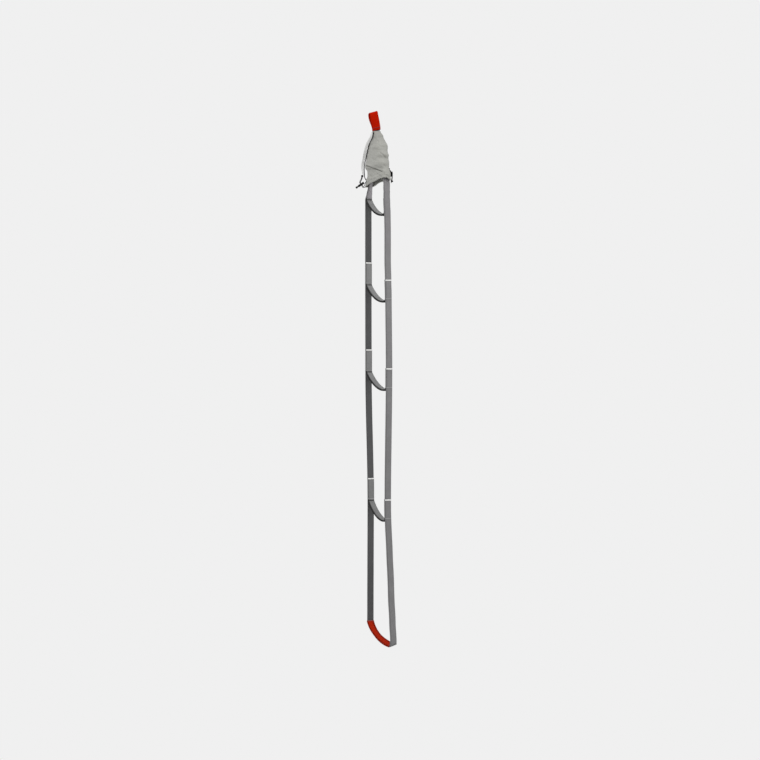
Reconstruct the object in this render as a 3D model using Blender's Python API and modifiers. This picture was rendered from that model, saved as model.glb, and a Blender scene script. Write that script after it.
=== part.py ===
"""A five-step webbing etrier with a stow pouch at its head, hanging from its clip loop.

+Z is up, X runs from rail to rail, and Y is the width of the webbing, the way a foot goes in.
The origin is the inside top of the clip loop, where a carabiner bears. Lengths are in metres.
"""
import math

import bmesh
import bpy
from mathutils import Matrix, Vector
from mathutils.geometry import interpolate_bezier

MM = 0.001

# Webbing and the clearance between pieces that touch
webbing_width = 19.3 * MM
webbing_thickness = 2.2 * MM
seat_gap = 0.3 * MM
flex_gap = 0.4 * MM            # between two webbing ends that bend against each other
end_round = 1.05 * MM
end_round_share = 0.48         # of the thickness, at most
merge_distance = 0.003 * MM

# Ladder
rail_spacing = 138 * MM        # between the middles of the two rails
first_step_depth = 247 * MM    # from the origin down to the first step's left junction
step_pitches = (250 * MM, 255 * MM, 377 * MM, 354 * MM)
junction_drop = 50 * MM        # each step's right junction lies this far below its left one
lap_length = 70 * MM           # rail sewn to a step's tail, above the junction
right_corner_rise = 15 * MM      # the right webbing turns straight down this much higher
flex_below_junction = 8 * MM   # where the next stretch of rail starts to bend

# Steps
sling_leaves = Vector((45 * MM, 0, -42 * MM))
sling_arrives = Vector((36 * MM, 0, 5 * MM))
sling_bend = 8 * MM
left_tail_inset = 4 * MM       # a tail ends this far below the lap's top
right_tail_inset = 10 * MM
left_tail = lap_length - left_tail_inset
right_tail = lap_length - right_tail_inset
head_tail = 44 * MM
stiffener_thickness = 2.4 * MM
stiffener_width = 18.4 * MM
sling_steps = 15

# Bottom step
bottom_leaves = Vector((22 * MM, 0, -38 * MM))
bottom_arrives = Vector((46 * MM, 0, -1 * MM))
bottom_drop = 58 * MM
bottom_lap = 8 * MM
bottom_tail = 14 * MM
bottom_corner = 3 * MM         # rail left below the bottom step's right junction
sleeve_wall = 0.8 * MM
sleeve_overrun = 4 * MM

# Clip loop
loop_width = 25 * MM
loop_inner_width = 10 * MM
loop_hinge_depth = 51.5 * MM
loop_fold = 1.6 * MM           # middle of the webbing to the middle of the fold
fold_clearance = 0.25 * MM     # from a fold to the hinge line at the loop's foot
arch_steps = 12
fold_steps = 8

# How far each level stands off the origin along Y: the ladder hangs a little askew
foot_drift = 11 * MM
ladder_drift = 17 * MM
left_drifts = (0 * MM, 0 * MM, 0.5 * MM, 7.5 * MM, 6.5 * MM)
right_drifts = (0 * MM, 0 * MM, 2 * MM, -2 * MM, 15 * MM)

# Stow pouch: at each level its depth, half width, half depth and drift along Y
pouch_levels = (
    (54 * MM, 10.4 * MM, 10.8 * MM, 11.1 * MM),
    (70 * MM, 22 * MM, 13.5 * MM, 14 * MM),
    (100 * MM, 42 * MM, 20 * MM, 15 * MM),
    (130 * MM, 55 * MM, 18 * MM, 14 * MM),
    (153 * MM, 60 * MM, 19.5 * MM, 13 * MM),
    (164 * MM, 61 * MM, 16 * MM, 14.8 * MM),
    (185 * MM, 65.5 * MM, 17 * MM, 16.7 * MM),
    (208 * MM, 70.5 * MM, 17 * MM, 17 * MM),
)
pouch_wall = 0.8 * MM
pouch_squareness = 3
front_hem_rise = 18 * MM       # the mouth is cut higher on the right
back_hem_rise = 12 * MM
front_hem_slope_share = 0.92
back_hem_slope_share = 0.45
gather_height = 1.2 * MM
gather_spacing = 24 * MM
hem_radius = 1.9 * MM
panel_columns = 20
panel_rows = 18

# Strap and cord down the pouch's left edge
edge_cord_diameter = 2.4 * MM
edge_cord_stand_share = 1.5
edge_line = ((0.02, 288), (0.12, 272), (0.23, 261), (0.36, 250), (0.49, 236), (0.62, 223))
edge_cord_free = (
    (-51.9 * MM, -4.4 * MM, -164.5 * MM),
    (-51.7 * MM, -4.0 * MM, -173.5 * MM),
    (-51.0 * MM, -3.4 * MM, -183.0 * MM),
    (-49.4 * MM, 0.4 * MM, -192.0 * MM),
)
strap_width = 8 * MM
strap_thickness = 1.2 * MM
strap_end_width_share = 0.35
strap_outward = Vector((-0.4226, -0.9063, 0))

# Drawcords and their locks
drawcord_diameter = 1.8 * MM
strand_spacing = 2.2 * MM
knot_radius = 2.6 * MM
knot_length = 4.6 * MM
barrel_radius = 3.5 * MM
barrel_wall = 0.9 * MM
barrel_floor = 0.9 * MM
barrel_back = 9.4 * MM         # from the cord hole to the closed end
barrel_front = 10.5 * MM       # from the cord hole to the open end
barrel_fillet = 0.8 * MM
groove_depth = 0.45 * MM
groove_width = 1.2 * MM
groove_count = 3
plunger_clearance = 0.15 * MM
plunger_travel = 2.2 * MM
plunger_seat = 3.2 * MM        # from the cord hole back to the spring's seat
neck_radius = 2 * MM
neck_length = 2.8 * MM
button_radius = 3.2 * MM
hole_margin = 0.25 * MM
spring_wire = 0.5 * MM
spring_turns = 3
spring_turn_steps = 10
turned_steps = 20

left_lock_place = Vector((-55.5 * MM, -12.1 * MM, -204.2 * MM))
left_lock_axis = Vector((-0.351, -0.752, -0.557))
left_cord_axis = Vector((-0.235, -0.505, 0.83))
right_lock_place = Vector((32.0 * MM, 41.6 * MM, -178.0 * MM))
right_lock_axis = Vector((-0.45, -0.15, 0.88))
right_cord_axis = Vector((0.89, 0.0, 0.455))
cutter_overrun = 2 * MM
lock_run_shares = (-2, -1.2, 0, 1.2, 1.8)
left_strands = (
    ("front", (
        (-49.8 * MM, 1.2 * MM, -195.4 * MM),
        (-50.8 * MM, -1.9 * MM, -201.0 * MM),
        (-51.3 * MM, -3.0 * MM, -207.0 * MM),
        (-52.4 * MM, -5.5 * MM, -210.3 * MM),
    )),
    ("back", (
        (-49.9 * MM, 0.9 * MM, -211.6 * MM),
        (-52.0 * MM, -4.6 * MM, -213.0 * MM),
        (-53.5 * MM, -7.9 * MM, -213.0 * MM),
    )),
)
left_tail_run = (
    (-1.2 * MM, -2.5 * MM, 8.7 * MM),
    (-0.3 * MM, -0.6 * MM, 12.7 * MM),
    (0.5 * MM, 1.1 * MM, 17.0 * MM),
    (0.9 * MM, 1.9 * MM, 21.5 * MM),
)
right_strands = (
    ("front", (
        (6.0 * MM, 35.2 * MM, -194.6 * MM),
        (13.0 * MM, 39.6 * MM, -192.6 * MM),
        (20.0 * MM, 41.6 * MM, -186.6 * MM),
    )),
    ("back", (
        (7.0 * MM, 35.1 * MM, -189.6 * MM),
        (12.5 * MM, 39.4 * MM, -187.4 * MM),
        (19.5 * MM, 41.6 * MM, -182.8 * MM),
    )),
)
right_tail_run = (
    (9.0 * MM, 0.0 * MM, 3.6 * MM),
    (11.2 * MM, -0.3 * MM, -0.5 * MM),
    (11.6 * MM, -0.7 * MM, -8.0 * MM),
    (11.4 * MM, -1.1 * MM, -15.0 * MM),
    (11.2 * MM, -1.5 * MM, -20.5 * MM),
)

clip_red = (0.434, 0.012, 0.0008)
light_grey = (0.215, 0.215, 0.215)
rail_grey = (0.168, 0.168, 0.178)
pouch_grey = (0.361, 0.361, 0.342)
strap_grey = (0.53, 0.53, 0.53)
cord_black = (0.012, 0.012, 0.013)
steel_grey = (0.45, 0.45, 0.47)


def finish(name, colour, roughness, metallic=0.0):
    """A plain surface finish."""
    material = bpy.data.materials.new(name)
    material.use_nodes = True
    shader = material.node_tree.nodes["Principled BSDF"]
    shader.inputs["Base Color"].default_value = (*colour, 1.0)
    shader.inputs["Roughness"].default_value = roughness
    shader.inputs["Metallic"].default_value = metallic
    return material


def add(name, mesh, material, collection):
    """An object of its own for one sub-part."""
    part = bpy.data.objects.new(name, mesh)
    if material:
        mesh.materials.clear()
        mesh.materials.append(material)
    collection.objects.link(part)
    return part


def sheet(name, columns, rows, place, thickness, material, round_ends=False, closed=False):
    """A cloth or webbing sheet: a grid laid out by place(across, along), then given its thickness."""
    form = bmesh.new()
    bmesh.ops.create_grid(form, x_segments=columns, y_segments=rows, size=0.5)
    last_row = 1 - 0.5 / rows
    ends = []
    for vertex in form.verts:
        across, along = vertex.co.x + 0.5, vertex.co.y + 0.5
        if min(along, 1 - along) < 1 - last_row:
            ends.append(vertex.index)
        vertex.co = place(across, along)
    if closed:
        bmesh.ops.remove_doubles(form, verts=form.verts, dist=merge_distance)
    mesh = bpy.data.meshes.new(name)
    form.to_mesh(mesh)
    form.free()
    part = add(name, mesh, material, parts)
    wall = part.modifiers.new("thickness", "SOLIDIFY")
    wall.thickness = thickness
    wall.offset = 0
    wall.use_even_offset = True
    if round_ends:
        group = part.vertex_groups.new(name="ends")
        group.add(ends, 1.0, "REPLACE")
        rounding = part.modifiers.new("round ends", "BEVEL")
        rounding.limit_method = "VGROUP"
        rounding.vertex_group = "ends"
        rounding.width = min(end_round, thickness * end_round_share)
        rounding.segments = 3
    return part


def ribbon(name, route, width, thickness, material, round_ends=True, closed=False):
    """Webbing that follows a route in the XZ plane, its width across Y."""
    def place(across, along):
        point = route[round(along * (len(route) - 1))]
        return Vector((point.x, drift(point) + (across - 0.5) * width, point.z))
    return sheet(name, 1, len(route) - 1, place, thickness, material, round_ends, closed)


def arc(centre, radius, start, end, steps):
    """Points on an arc in the XZ plane, angles from +X towards +Z."""
    angles = [start + (end - start) * step / steps for step in range(steps + 1)]
    return [centre + Vector((math.cos(angle), 0, math.sin(angle))) * radius for angle in angles]


def bend(before, corner, after, radius, steps=5):
    """The arc that rounds one corner of a route."""
    inward = (before - corner).normalized()
    outward = (after - corner).normalized()
    half = inward.angle(outward) / 2
    centre = corner + (inward + outward).normalized() * (radius / math.sin(half))
    start = (corner + inward * (radius / math.tan(half)) - centre).normalized()
    end = (corner + outward * (radius / math.tan(half)) - centre).normalized()
    return [centre + start.slerp(end, step / steps) * radius for step in range(steps + 1)]


def beside(route, distance):
    """The route moved sideways, towards its right-hand side seen from -Y."""
    moved = []
    for index, point in enumerate(route):
        ahead = route[min(index + 1, len(route) - 1)] - route[max(index - 1, 0)]
        side = Vector((ahead.z, 0, -ahead.x)).normalized()
        moved.append(point + side * distance)
    return moved


def smooth(points, steps):
    """A smooth curve through hand-chosen points."""
    ends = [points[0], *points, points[-1]]
    route = []
    for before, start, end, after in zip(ends, ends[1:], ends[2:], ends[3:]):
        leave = start + (end - before) / 6
        arrive = end - (after - start) / 6
        route += interpolate_bezier(start, leave, arrive, end, steps + 1)[:-1]
    return [*route, points[-1]]


def cord(name, points, diameter, material, steps=2):
    """A round cord along hand-chosen points."""
    route = smooth(points, steps)
    curve = bpy.data.curves.new(name, "CURVE")
    curve.dimensions = "3D"
    curve.bevel_depth = diameter / 2
    curve.bevel_resolution = 2
    curve.use_fill_caps = True
    spline = curve.splines.new("POLY")
    spline.points.add(len(route) - 1)
    for point, place in zip(spline.points, route):
        point.co = (*place, 1)
    return add(name, curve, material, parts)


def turned(name, profile, material, collection):
    """A turned solid from its profile, radius and height, running down the outer side."""
    mesh = bpy.data.meshes.new(name)
    form = bmesh.new()
    corners = [form.verts.new((radius, 0, height)) for radius, height in profile]
    for start, end in zip(corners, corners[1:]):
        form.edges.new((start, end))
    form.to_mesh(mesh)
    form.free()
    part = add(name, mesh, material, collection)
    screw = part.modifiers.new("turn", "SCREW")
    screw.steps = screw.render_steps = turned_steps
    screw.use_merge_vertices = True
    screw.merge_threshold = merge_distance
    screw.use_smooth_shade = True
    return part


def drift(point):
    """How far the webbing stands off along Y at a point of the ladder."""
    share = min(max(point.x / rail_spacing + 0.5, 0), 1)
    sides = []
    for drifts in (left_drifts, right_drifts):
        levels = [(0, 0), (loop_hinge_depth, foot_drift)]
        levels += [(depth, ladder_drift + value) for depth, value in zip(step_depths, drifts)]
        sides.append(between(levels, -point.z))
    return sides[0] + (sides[1] - sides[0]) * share


def between(levels, depth):
    """A value that eases from level to level."""
    if depth <= levels[0][0]:
        return levels[0][1]
    for (top, start), (foot, end) in zip(levels, levels[1:]):
        if depth <= foot:
            share = (depth - top) / (foot - top)
            return start + (end - start) * share * share * (3 - 2 * share)
    return levels[-1][1]


def make_clip_loop():
    """The red loop: one closed band with a round top and a tight fold at its foot."""
    arch_radius = (loop_inner_width + webbing_thickness) / 2
    arch_centre = Vector((0, 0, -loop_inner_width / 2))
    fold_centre = Vector((0, 0, -loop_hinge_depth + fold_clearance + loop_fold + webbing_thickness / 2))
    side = Vector((arch_radius, 0, 0))
    foot = Vector((loop_fold, 0, 0))
    reach = Vector((0, 0, (arch_centre.z - fold_centre.z) / 2))
    right = interpolate_bezier(
        fold_centre + foot, fold_centre + foot + reach,
        arch_centre + side - reach, arch_centre + side, fold_steps)
    left = [Vector((-point.x, 0, point.z)) for point in reversed(right)]
    route = right[:-1] + arc(arch_centre, arch_radius, 0, math.pi, arch_steps) + left[1:]
    route += arc(fold_centre, loop_fold, math.pi, 2 * math.pi, fold_steps)[1:]
    ribbon("clip_loop", route, loop_width, webbing_thickness, red, round_ends=False, closed=True)


def tangent(centre, radius, outside, side):
    """Where a line from an outside point touches a circle in the XZ plane."""
    away = outside - centre
    turn = side * math.acos(radius / away.length)
    spoke = away.normalized() * radius
    return centre + Matrix.Rotation(turn, 3, "Y") @ spoke


def make_head_webbing():
    """The rail webbing above the first step: up one side, over the fold and down the other."""
    centre = Vector((0, 0, -loop_hinge_depth - fold_clearance - loop_fold - webbing_thickness / 2))
    left_corner = Vector((-rail_spacing / 2, 0, -first_step_depth))
    right_corner = Vector((rail_spacing / 2, 0, -first_step_depth + right_corner_rise))
    left_touch = tangent(centre, loop_fold, left_corner, 1)
    right_touch = tangent(centre, loop_fold, right_corner, -1)
    start = math.atan2(left_touch.z - centre.z, left_touch.x - centre.x) % (2 * math.pi)
    end = math.atan2(right_touch.z - centre.z, right_touch.x - centre.x)
    left_foot = left_corner - Vector((0, 0, flex_below_junction - flex_gap / 2))
    right_foot = left_foot + Vector((rail_spacing, 0, -junction_drop))
    route = [left_foot, *bend(left_foot, left_corner, left_touch, sling_bend * 2)]
    route += arc(centre, loop_fold, start, end, fold_steps)
    route += [*bend(right_touch, right_corner, right_foot, sling_bend * 2), right_foot]
    ribbon("head_webbing", route, webbing_width, webbing_thickness, rail_finish)
    return (left_touch - left_corner).normalized()


def make_step(number, depth, head_lean=None):
    """One step: its two tails, the sling between them and the stiffener under it."""
    tail_x = rail_spacing / 2 - webbing_thickness - seat_gap
    left = Vector((-tail_x, 0, -depth))
    right = Vector((tail_x, 0, -depth - junction_drop))
    left_top = left + (head_lean or Vector((0, 0, 1))) * left_tail
    right_top = right + Vector((0, 0, head_tail if head_lean else right_tail))
    left_bend = bend(left_top, left, left + sling_leaves, sling_bend)
    right_bend = bend(right - sling_arrives, right, right_top, sling_bend)
    sling = interpolate_bezier(
        left_bend[-1], left + sling_leaves, right - sling_arrives, right_bend[0], sling_steps)
    route = [left_top, *left_bend[:-1], *sling, *right_bend[1:], right_top]
    ribbon(f"step_{number}", route, webbing_width, webbing_thickness, step_finish)
    under = (webbing_thickness + stiffener_thickness) / 2 + seat_gap
    ribbon(
        f"step_{number}_stiffener", beside(sling[1:-1], under), stiffener_width,
        stiffener_thickness, black)


def make_rail(name, side, top, foot):
    """A straight stretch of rail between two places where the webbing bends."""
    steps = max(2, round((foot - top) / (rail_spacing / 3)))
    drop = (foot - top - flex_gap) / steps
    start = Vector((side * rail_spacing / 2, 0, -top - flex_gap / 2))
    route = [start - Vector((0, 0, drop * step)) for step in range(steps + 1)]
    ribbon(name, route, webbing_width, webbing_thickness, rail_finish)


def make_rails():
    """Rail stretches and laps on both sides, from the first step to the bottom one."""
    for name, side, drop in (("left", -1, 0), ("right", 1, junction_drop)):
        flex = step_depths[0] + drop + flex_below_junction
        for number, depth in enumerate(step_depths[1:-1], 2):
            lap_top = depth + drop - lap_length
            make_rail(f"{name}_rail_{number}", side, flex, lap_top)
            flex = depth + drop + flex_below_junction
            make_rail(f"{name}_lap_{number}", side, lap_top, flex)
        bottom_flex = step_depths[-1] + drop - bottom_lap
        make_rail(f"{name}_rail_{len(step_depths)}", side, flex, bottom_flex)
    lap_foot = step_depths[-1] + bottom_drop + bottom_corner
    make_rail(f"right_lap_{len(step_depths)}", 1, bottom_flex, lap_foot)


def make_bottom_step():
    """The bottom step carries straight on from the left rail, in a red sleeve."""
    left = Vector((-rail_spacing / 2, 0, -step_depths[-1]))
    tail_x = rail_spacing / 2 - webbing_thickness - seat_gap
    right = Vector((tail_x, 0, -step_depths[-1] - bottom_drop))
    left_top = left + Vector((0, 0, bottom_lap - flex_gap / 2))
    right_top = right + Vector((0, 0, bottom_tail))
    left_bend = bend(left_top, left, left + bottom_leaves, sling_bend)
    right_bend = bend(right - bottom_arrives, right, right_top, sling_bend / 2)
    sling = interpolate_bezier(
        left_bend[-1], left + bottom_leaves, right - bottom_arrives, right_bend[0], sling_steps)
    route = [left_top, *left_bend[:-1], *sling, *right_bend[1:], right_top]
    ribbon("bottom_step", route, webbing_width, webbing_thickness, step_finish)
    covered = [*left_bend[1:-1], *sling[:-1]]
    inner_width = webbing_width + 2 * seat_gap
    inner_thickness = webbing_thickness + 2 * seat_gap
    sleeve = ribbon(
        "bottom_sleeve", covered, inner_width + 2 * sleeve_wall,
        inner_thickness + 2 * sleeve_wall, red, round_ends=False)
    before = covered[0] + (covered[0] - covered[1]).normalized() * sleeve_overrun
    beyond = covered[-1] + (covered[-1] - covered[-2]).normalized() * sleeve_overrun
    hollow = ribbon(
        "bottom_sleeve_hollow", [before, *covered, beyond], inner_width, inner_thickness,
        None, round_ends=False)
    as_cutter(hollow)
    cut(sleeve, hollow)


def as_cutter(part):
    """Keep a cutter out of the object itself."""
    for collection in list(part.users_collection):
        collection.objects.unlink(part)
    cutters.objects.link(part)
    part.hide_render = True
    part.display_type = "WIRE"


def cut(part, cutter):
    """Cut one solid from another."""
    difference = part.modifiers.new("cut", "BOOLEAN")
    difference.operation = "DIFFERENCE"
    difference.object = cutter


def pouch_size(depth):
    """The pouch's half width, half depth and drift at a depth."""
    return [between([(level[0], level[item]) for level in pouch_levels], depth) for item in (1, 2, 3)]


def hem_depth(x, rise):
    """The mouth's edge: lowest on the left, cut higher to the right."""
    half = pouch_levels[-1][1]
    slope_share = front_hem_slope_share if rise == front_hem_rise else back_hem_slope_share
    share = min(max((x + half) / (2 * half * slope_share), 0), 1)
    return pouch_levels[-1][0] - rise * share * share * (3 - 2 * share)


def pouch_point(angle, share, rise, proud=0.0):
    """A point on the pouch, by its angle from +X and its share of the way down to the hem."""
    flat = Vector((math.cos(angle), math.sin(angle)))
    top = pouch_levels[0][0]
    depth = top + (hem_depth(flat.x * pouch_levels[-1][1], rise) - top) * share
    half_width, half_depth, stand = pouch_size(depth)
    ripple = math.sin(2 * math.pi * depth / gather_spacing) * gather_height * max(flat.x, 0)
    reach = [abs(value) ** (2 / pouch_squareness) * math.copysign(1, value) for value in flat]
    x = reach[0] * (half_width + proud + ripple * math.sin(math.pi * share))
    y = reach[1] * (half_depth + proud + ripple * math.sin(math.pi * share))
    return Vector((x, stand + y, -depth))


def make_pouch():
    """Front and back panels of the open-mouthed pouch, and the rolled hem below each."""
    top_half = pouch_levels[0][1]
    for name, start, rise in (("front", math.pi, front_hem_rise), ("back", 0.0, back_hem_rise)):
        seam = math.asin(seat_gap / top_half)

        def place(across, along, start=start, rise=rise, seam=seam):
            angle = start + seam + (math.pi - 2 * seam) * (1 - across)
            return pouch_point(angle, 1 - along, rise)
        panel = sheet(f"pouch_{name}", panel_columns, panel_rows, place, pouch_wall, pouch_finish)
        panel.data.shade_smooth()
        below = Vector((0, 0, -hem_radius - seat_gap - pouch_wall / 2))
        angles = [start + 2 * seam + (math.pi - 4 * seam) * step / panel_columns
                  for step in range(panel_columns + 1)]
        route = [pouch_point(angle, 1.0, rise) + below for angle in angles]
        if name == "back":
            route = route[1:-1]
        cord(f"{name}_hem", route, 2 * hem_radius, pouch_finish, steps=1)


def make_edge():
    """The black cord down the pouch's left edge and the strap that stands outside it."""
    proud = (edge_cord_diameter / 2 + pouch_wall / 2 + seat_gap) * edge_cord_stand_share
    places = [pouch_point(math.radians(angle), share, front_hem_rise, proud) for share, angle in edge_line]
    free = [Vector(point) for point in edge_cord_free]
    sewn = smooth([*places, free[0]], 2)[:-1]
    cord("edge_cord", [*sewn, *free], edge_cord_diameter, black, steps=1)
    standing = strap_outward * (edge_cord_diameter / 2 + seat_gap + strap_thickness / 2)
    line = [*sewn, *free[:2]]

    def place(across, along):
        point = line[round((1 - along) * (len(line) - 1))]
        belly = math.sqrt(abs(math.sin(math.pi * along)))
        taper = strap_end_width_share + (1 - strap_end_width_share) * belly
        return point + standing + strap_outward * (strap_width * taper * across)
    sheet("side_strap", 2, len(line) - 1, place, strap_thickness, strap_finish)


def stand(part, origin, axis, cord_axis):
    """Put a turned piece on its lock's axis, the cord hole along its local X."""
    up = axis.normalized()
    across = (cord_axis - up * cord_axis.dot(up)).normalized()
    basis = Matrix((across, up.cross(across), up)).transposed()
    part.matrix_world = Matrix.Translation(origin) @ basis.to_4x4()


def hole_cutter(name, low, high, width):
    """A slot through a lock, from low to high along the lock's axis."""
    mesh = bpy.data.meshes.new(name)
    form = bmesh.new()
    bmesh.ops.create_cube(form, size=1)
    size = (2 * (barrel_radius + cutter_overrun), width, high - low)
    bmesh.ops.scale(form, vec=size, verts=form.verts)
    bmesh.ops.translate(form, vec=(0, 0, (high + low) / 2), verts=form.verts)
    form.to_mesh(mesh)
    form.free()
    cutter = add(name, mesh, None, cutters)
    as_cutter(cutter)
    return cutter


def make_lock(side, origin, axis, cord_axis):
    """A barrel cord lock: barrel, spring and the plunger that pinches the cord."""
    half_slot = (strand_spacing + drawcord_diameter) / 2 + hole_margin
    slot_width = drawcord_diameter + 2 * hole_margin
    bore = barrel_radius - barrel_wall
    floor = -barrel_back + barrel_floor
    profile = [(0, floor), (bore, floor), (bore, barrel_front)]
    profile += [(barrel_radius - barrel_fillet, barrel_front), (barrel_radius, barrel_front - barrel_fillet)]
    first_groove = barrel_front - 2 * barrel_fillet
    for number in range(groove_count):
        top = first_groove - 2 * groove_width * number
        profile += [(barrel_radius, top), (barrel_radius - groove_depth, top - groove_width / 2)]
        profile += [(barrel_radius, top - groove_width)]
    profile += [(barrel_radius, -barrel_back + barrel_fillet)]
    profile += [(barrel_radius - barrel_fillet, -barrel_back), (0, -barrel_back)]
    barrel = turned(f"{side}_lock_barrel", profile, black, parts)
    stand(barrel, origin, axis, cord_axis)
    slot = hole_cutter(f"{side}_barrel_slot", -half_slot, half_slot, slot_width)
    stand(slot, origin, axis, cord_axis)
    cut(barrel, slot)

    body = bore - plunger_clearance
    seat = -plunger_seat
    neck_foot = barrel_front - seat_gap
    button = neck_foot + neck_length + button_radius
    neck_angle = math.acos(neck_radius / button_radius)
    ball = [math.pi / 2 - (math.pi / 2 + neck_angle) * step / fold_steps for step in range(fold_steps + 1)]
    profile = [(button_radius * math.cos(angle), button + button_radius * math.sin(angle)) for angle in ball]
    profile[0] = (0, profile[0][1])
    profile += [(neck_radius, neck_foot), (body, neck_foot), (body, seat), (0, seat)]
    plunger = turned(f"{side}_lock_plunger", profile, black, parts)
    stand(plunger, origin, axis, cord_axis)
    slot = hole_cutter(f"{side}_plunger_slot", -half_slot, half_slot + plunger_travel, slot_width)
    stand(slot, origin, axis, cord_axis)
    cut(plunger, slot)

    coil = body - spring_wire / 2
    low = floor + seat_gap + spring_wire / 2
    high = seat - seat_gap - spring_wire / 2
    count = spring_turns * spring_turn_steps
    wire = []
    for step in range(count + 1):
        turn = 2 * math.pi * step / spring_turn_steps
        wire.append(Vector((coil * math.cos(turn), coil * math.sin(turn), low + (high - low) * step / count)))
    spring = cord(f"{side}_lock_spring", wire, spring_wire, steel, steps=1)
    spring.data.bevel_resolution = 1
    stand(spring, origin, axis, cord_axis)
    clear = (high - low) / spring_turns - spring_wire
    print(f"{side} spring: least gap between turns {clear / MM:.2f} mm")


def make_knot(name, place, axis):
    """A stopper knot as a turned bead on the cord's line."""
    spread = [math.pi / 2 - math.pi * step / fold_steps for step in range(fold_steps + 1)]
    profile = [(knot_radius * math.cos(angle), knot_length / 2 * math.sin(angle)) for angle in spread]
    profile[0] = (0, profile[0][1])
    profile[-1] = (0, profile[-1][1])
    knot = turned(name, profile, black, parts)
    stand(knot, place, axis, Vector((axis.z, axis.x, axis.y)))


def aside(route, normal, distance):
    """The route moved sideways in the plane with this normal."""
    moved = []
    for index, point in enumerate(route):
        ahead = route[min(index + 1, len(route) - 1)] - route[max(index - 1, 0)]
        moved.append(point + ahead.cross(normal).normalized() * distance)
    return moved


def make_drawcords(side, origin, axis, cord_axis, strands, tail):
    """The drawcord's two strands on one side, through the lock and on to their knot."""
    along = cord_axis.normalized()
    normal = axis.cross(along).normalized()
    straight = [origin + along * (barrel_radius * share) for share in lock_run_shares]
    middle = smooth([*straight, *[origin + Vector(point) for point in tail]], 2)
    for (name, lead), offset in zip(strands, (-1, 1)):
        strand = aside(middle, normal, offset * strand_spacing / 2)
        lead = [Vector(point) for point in lead]
        cord(f"{side}_drawcord_{name}", [*smooth([*lead, strand[0]], 2), *strand[1:]],
             drawcord_diameter, black, steps=1)
    ending = (middle[-1] - middle[-2]).normalized()
    make_knot(f"{side}_cord_knot", middle[-1] + ending * (knot_length / 2 + seat_gap), ending)


def hang(joint, place, names, parent=None):
    """Parent pieces to an empty on the axis they swing or slide on, and that to the empty above it."""
    pivot = bpy.data.objects.new(joint, None)
    pivot.empty_display_size = webbing_width / 2
    pivot.location = place
    parts.objects.link(pivot)
    for name in names:
        piece = bpy.data.objects[name]
        piece.parent = pivot
        piece.matrix_parent_inverse = Matrix.Translation(-place)
    if parent:
        pivot.parent = parent
        pivot.matrix_parent_inverse = Matrix.Translation(-parent_places[parent.name])
    parent_places[joint] = place
    return pivot


def hang_ladder():
    """The chain of swing pivots: each step hangs from one rail, and the other rail swings beside it."""
    head_names = ["head_webbing", "step_1", "step_1_stiffener", "edge_cord", "side_strap"]
    head_names += [f"{half}_{piece}" for half in ("left", "right")
                   for piece in ("drawcord_front", "drawcord_back", "cord_knot")]
    head_names += ["pouch_front", "pouch_back", "front_hem", "back_hem"]
    head = hang("head_swing", Vector((0, foot_drift, -loop_hinge_depth)), head_names)
    above = head
    for number, (upper, lower) in enumerate(zip(step_depths, step_depths[1:]), 2):
        last = number == len(step_depths)
        lap = bottom_lap if last else lap_length
        step_names = ["bottom_step", "bottom_sleeve"]
        if not last:
            step_names = [f"left_lap_{number}", f"step_{number}", f"step_{number}_stiffener"]
        step_names.append(f"right_lap_{number}")
        left_top = Vector((-rail_spacing / 2, ladder_drift, -upper - flex_below_junction))
        tops = {"left": left_top, "right": left_top + Vector((rail_spacing, 0, -junction_drop))}
        carrier, other = ("right", "left") if number % 2 else ("left", "right")
        hang(f"{other}_sway_{number}", tops[other], [f"{other}_rail_{number}"], above)
        rail = hang(f"{carrier}_sway_{number}", tops[carrier], [f"{carrier}_rail_{number}"], above)
        foot = tops[carrier] - Vector((0, 0, lower - upper - flex_below_junction - lap))
        above = hang(f"{carrier}_level_{number}", foot, step_names, rail)
    for half, place in (("left", left_lock_place), ("right", right_lock_place)):
        lock = hang(f"{half}_lock_slide", place, [f"{half}_lock_barrel", f"{half}_lock_spring"], head)
        hang(f"{half}_plunger_press", place, [f"{half}_lock_plunger"], lock)


for existing in list(bpy.data.objects):
    bpy.data.objects.remove(existing)
parts = bpy.data.collections.new("webbing_etrier")
cutters = bpy.data.collections.new("cutters")
bpy.context.scene.collection.children.link(parts)
bpy.context.scene.collection.children.link(cutters)

red = finish("red webbing", clip_red, 0.8)
step_finish = finish("light grey webbing", light_grey, 0.8)
rail_finish = finish("grey webbing", rail_grey, 0.8)
pouch_finish = finish("pouch cloth", pouch_grey, 0.7)
strap_finish = finish("strap tape", strap_grey, 0.7)
black = finish("black", cord_black, 0.5)
steel = finish("spring steel", steel_grey, 0.35, 1.0)

parent_places = {}
step_depths = [first_step_depth]
for pitch in step_pitches:
    step_depths.append(step_depths[-1] + pitch)

make_clip_loop()
lean = make_head_webbing()
make_step(1, step_depths[0], lean)
for number, depth in enumerate(step_depths[1:-1], 2):
    make_step(number, depth)
make_rails()
make_bottom_step()
make_pouch()
make_edge()
for side, origin, axis, cord_axis, strands, tail in (
    ("left", left_lock_place, left_lock_axis, left_cord_axis, left_strands, left_tail_run),
    ("right", right_lock_place, right_lock_axis, right_cord_axis, right_strands, right_tail_run),
):
    make_lock(side, origin, axis, cord_axis)
    make_drawcords(side, origin, axis, cord_axis, strands, tail)
hang_ladder()
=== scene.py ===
"""Looks for a five-step webbing etrier: woven webbing, sewing, a crumpled pouch and its drawcords.

Lengths are in metres. +Z is up, X runs from rail to rail and Y across the webbing.
"""

import math

import bmesh
import bpy
from mathutils import Matrix, Vector, noise
from mathutils.geometry import interpolate_bezier


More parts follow.
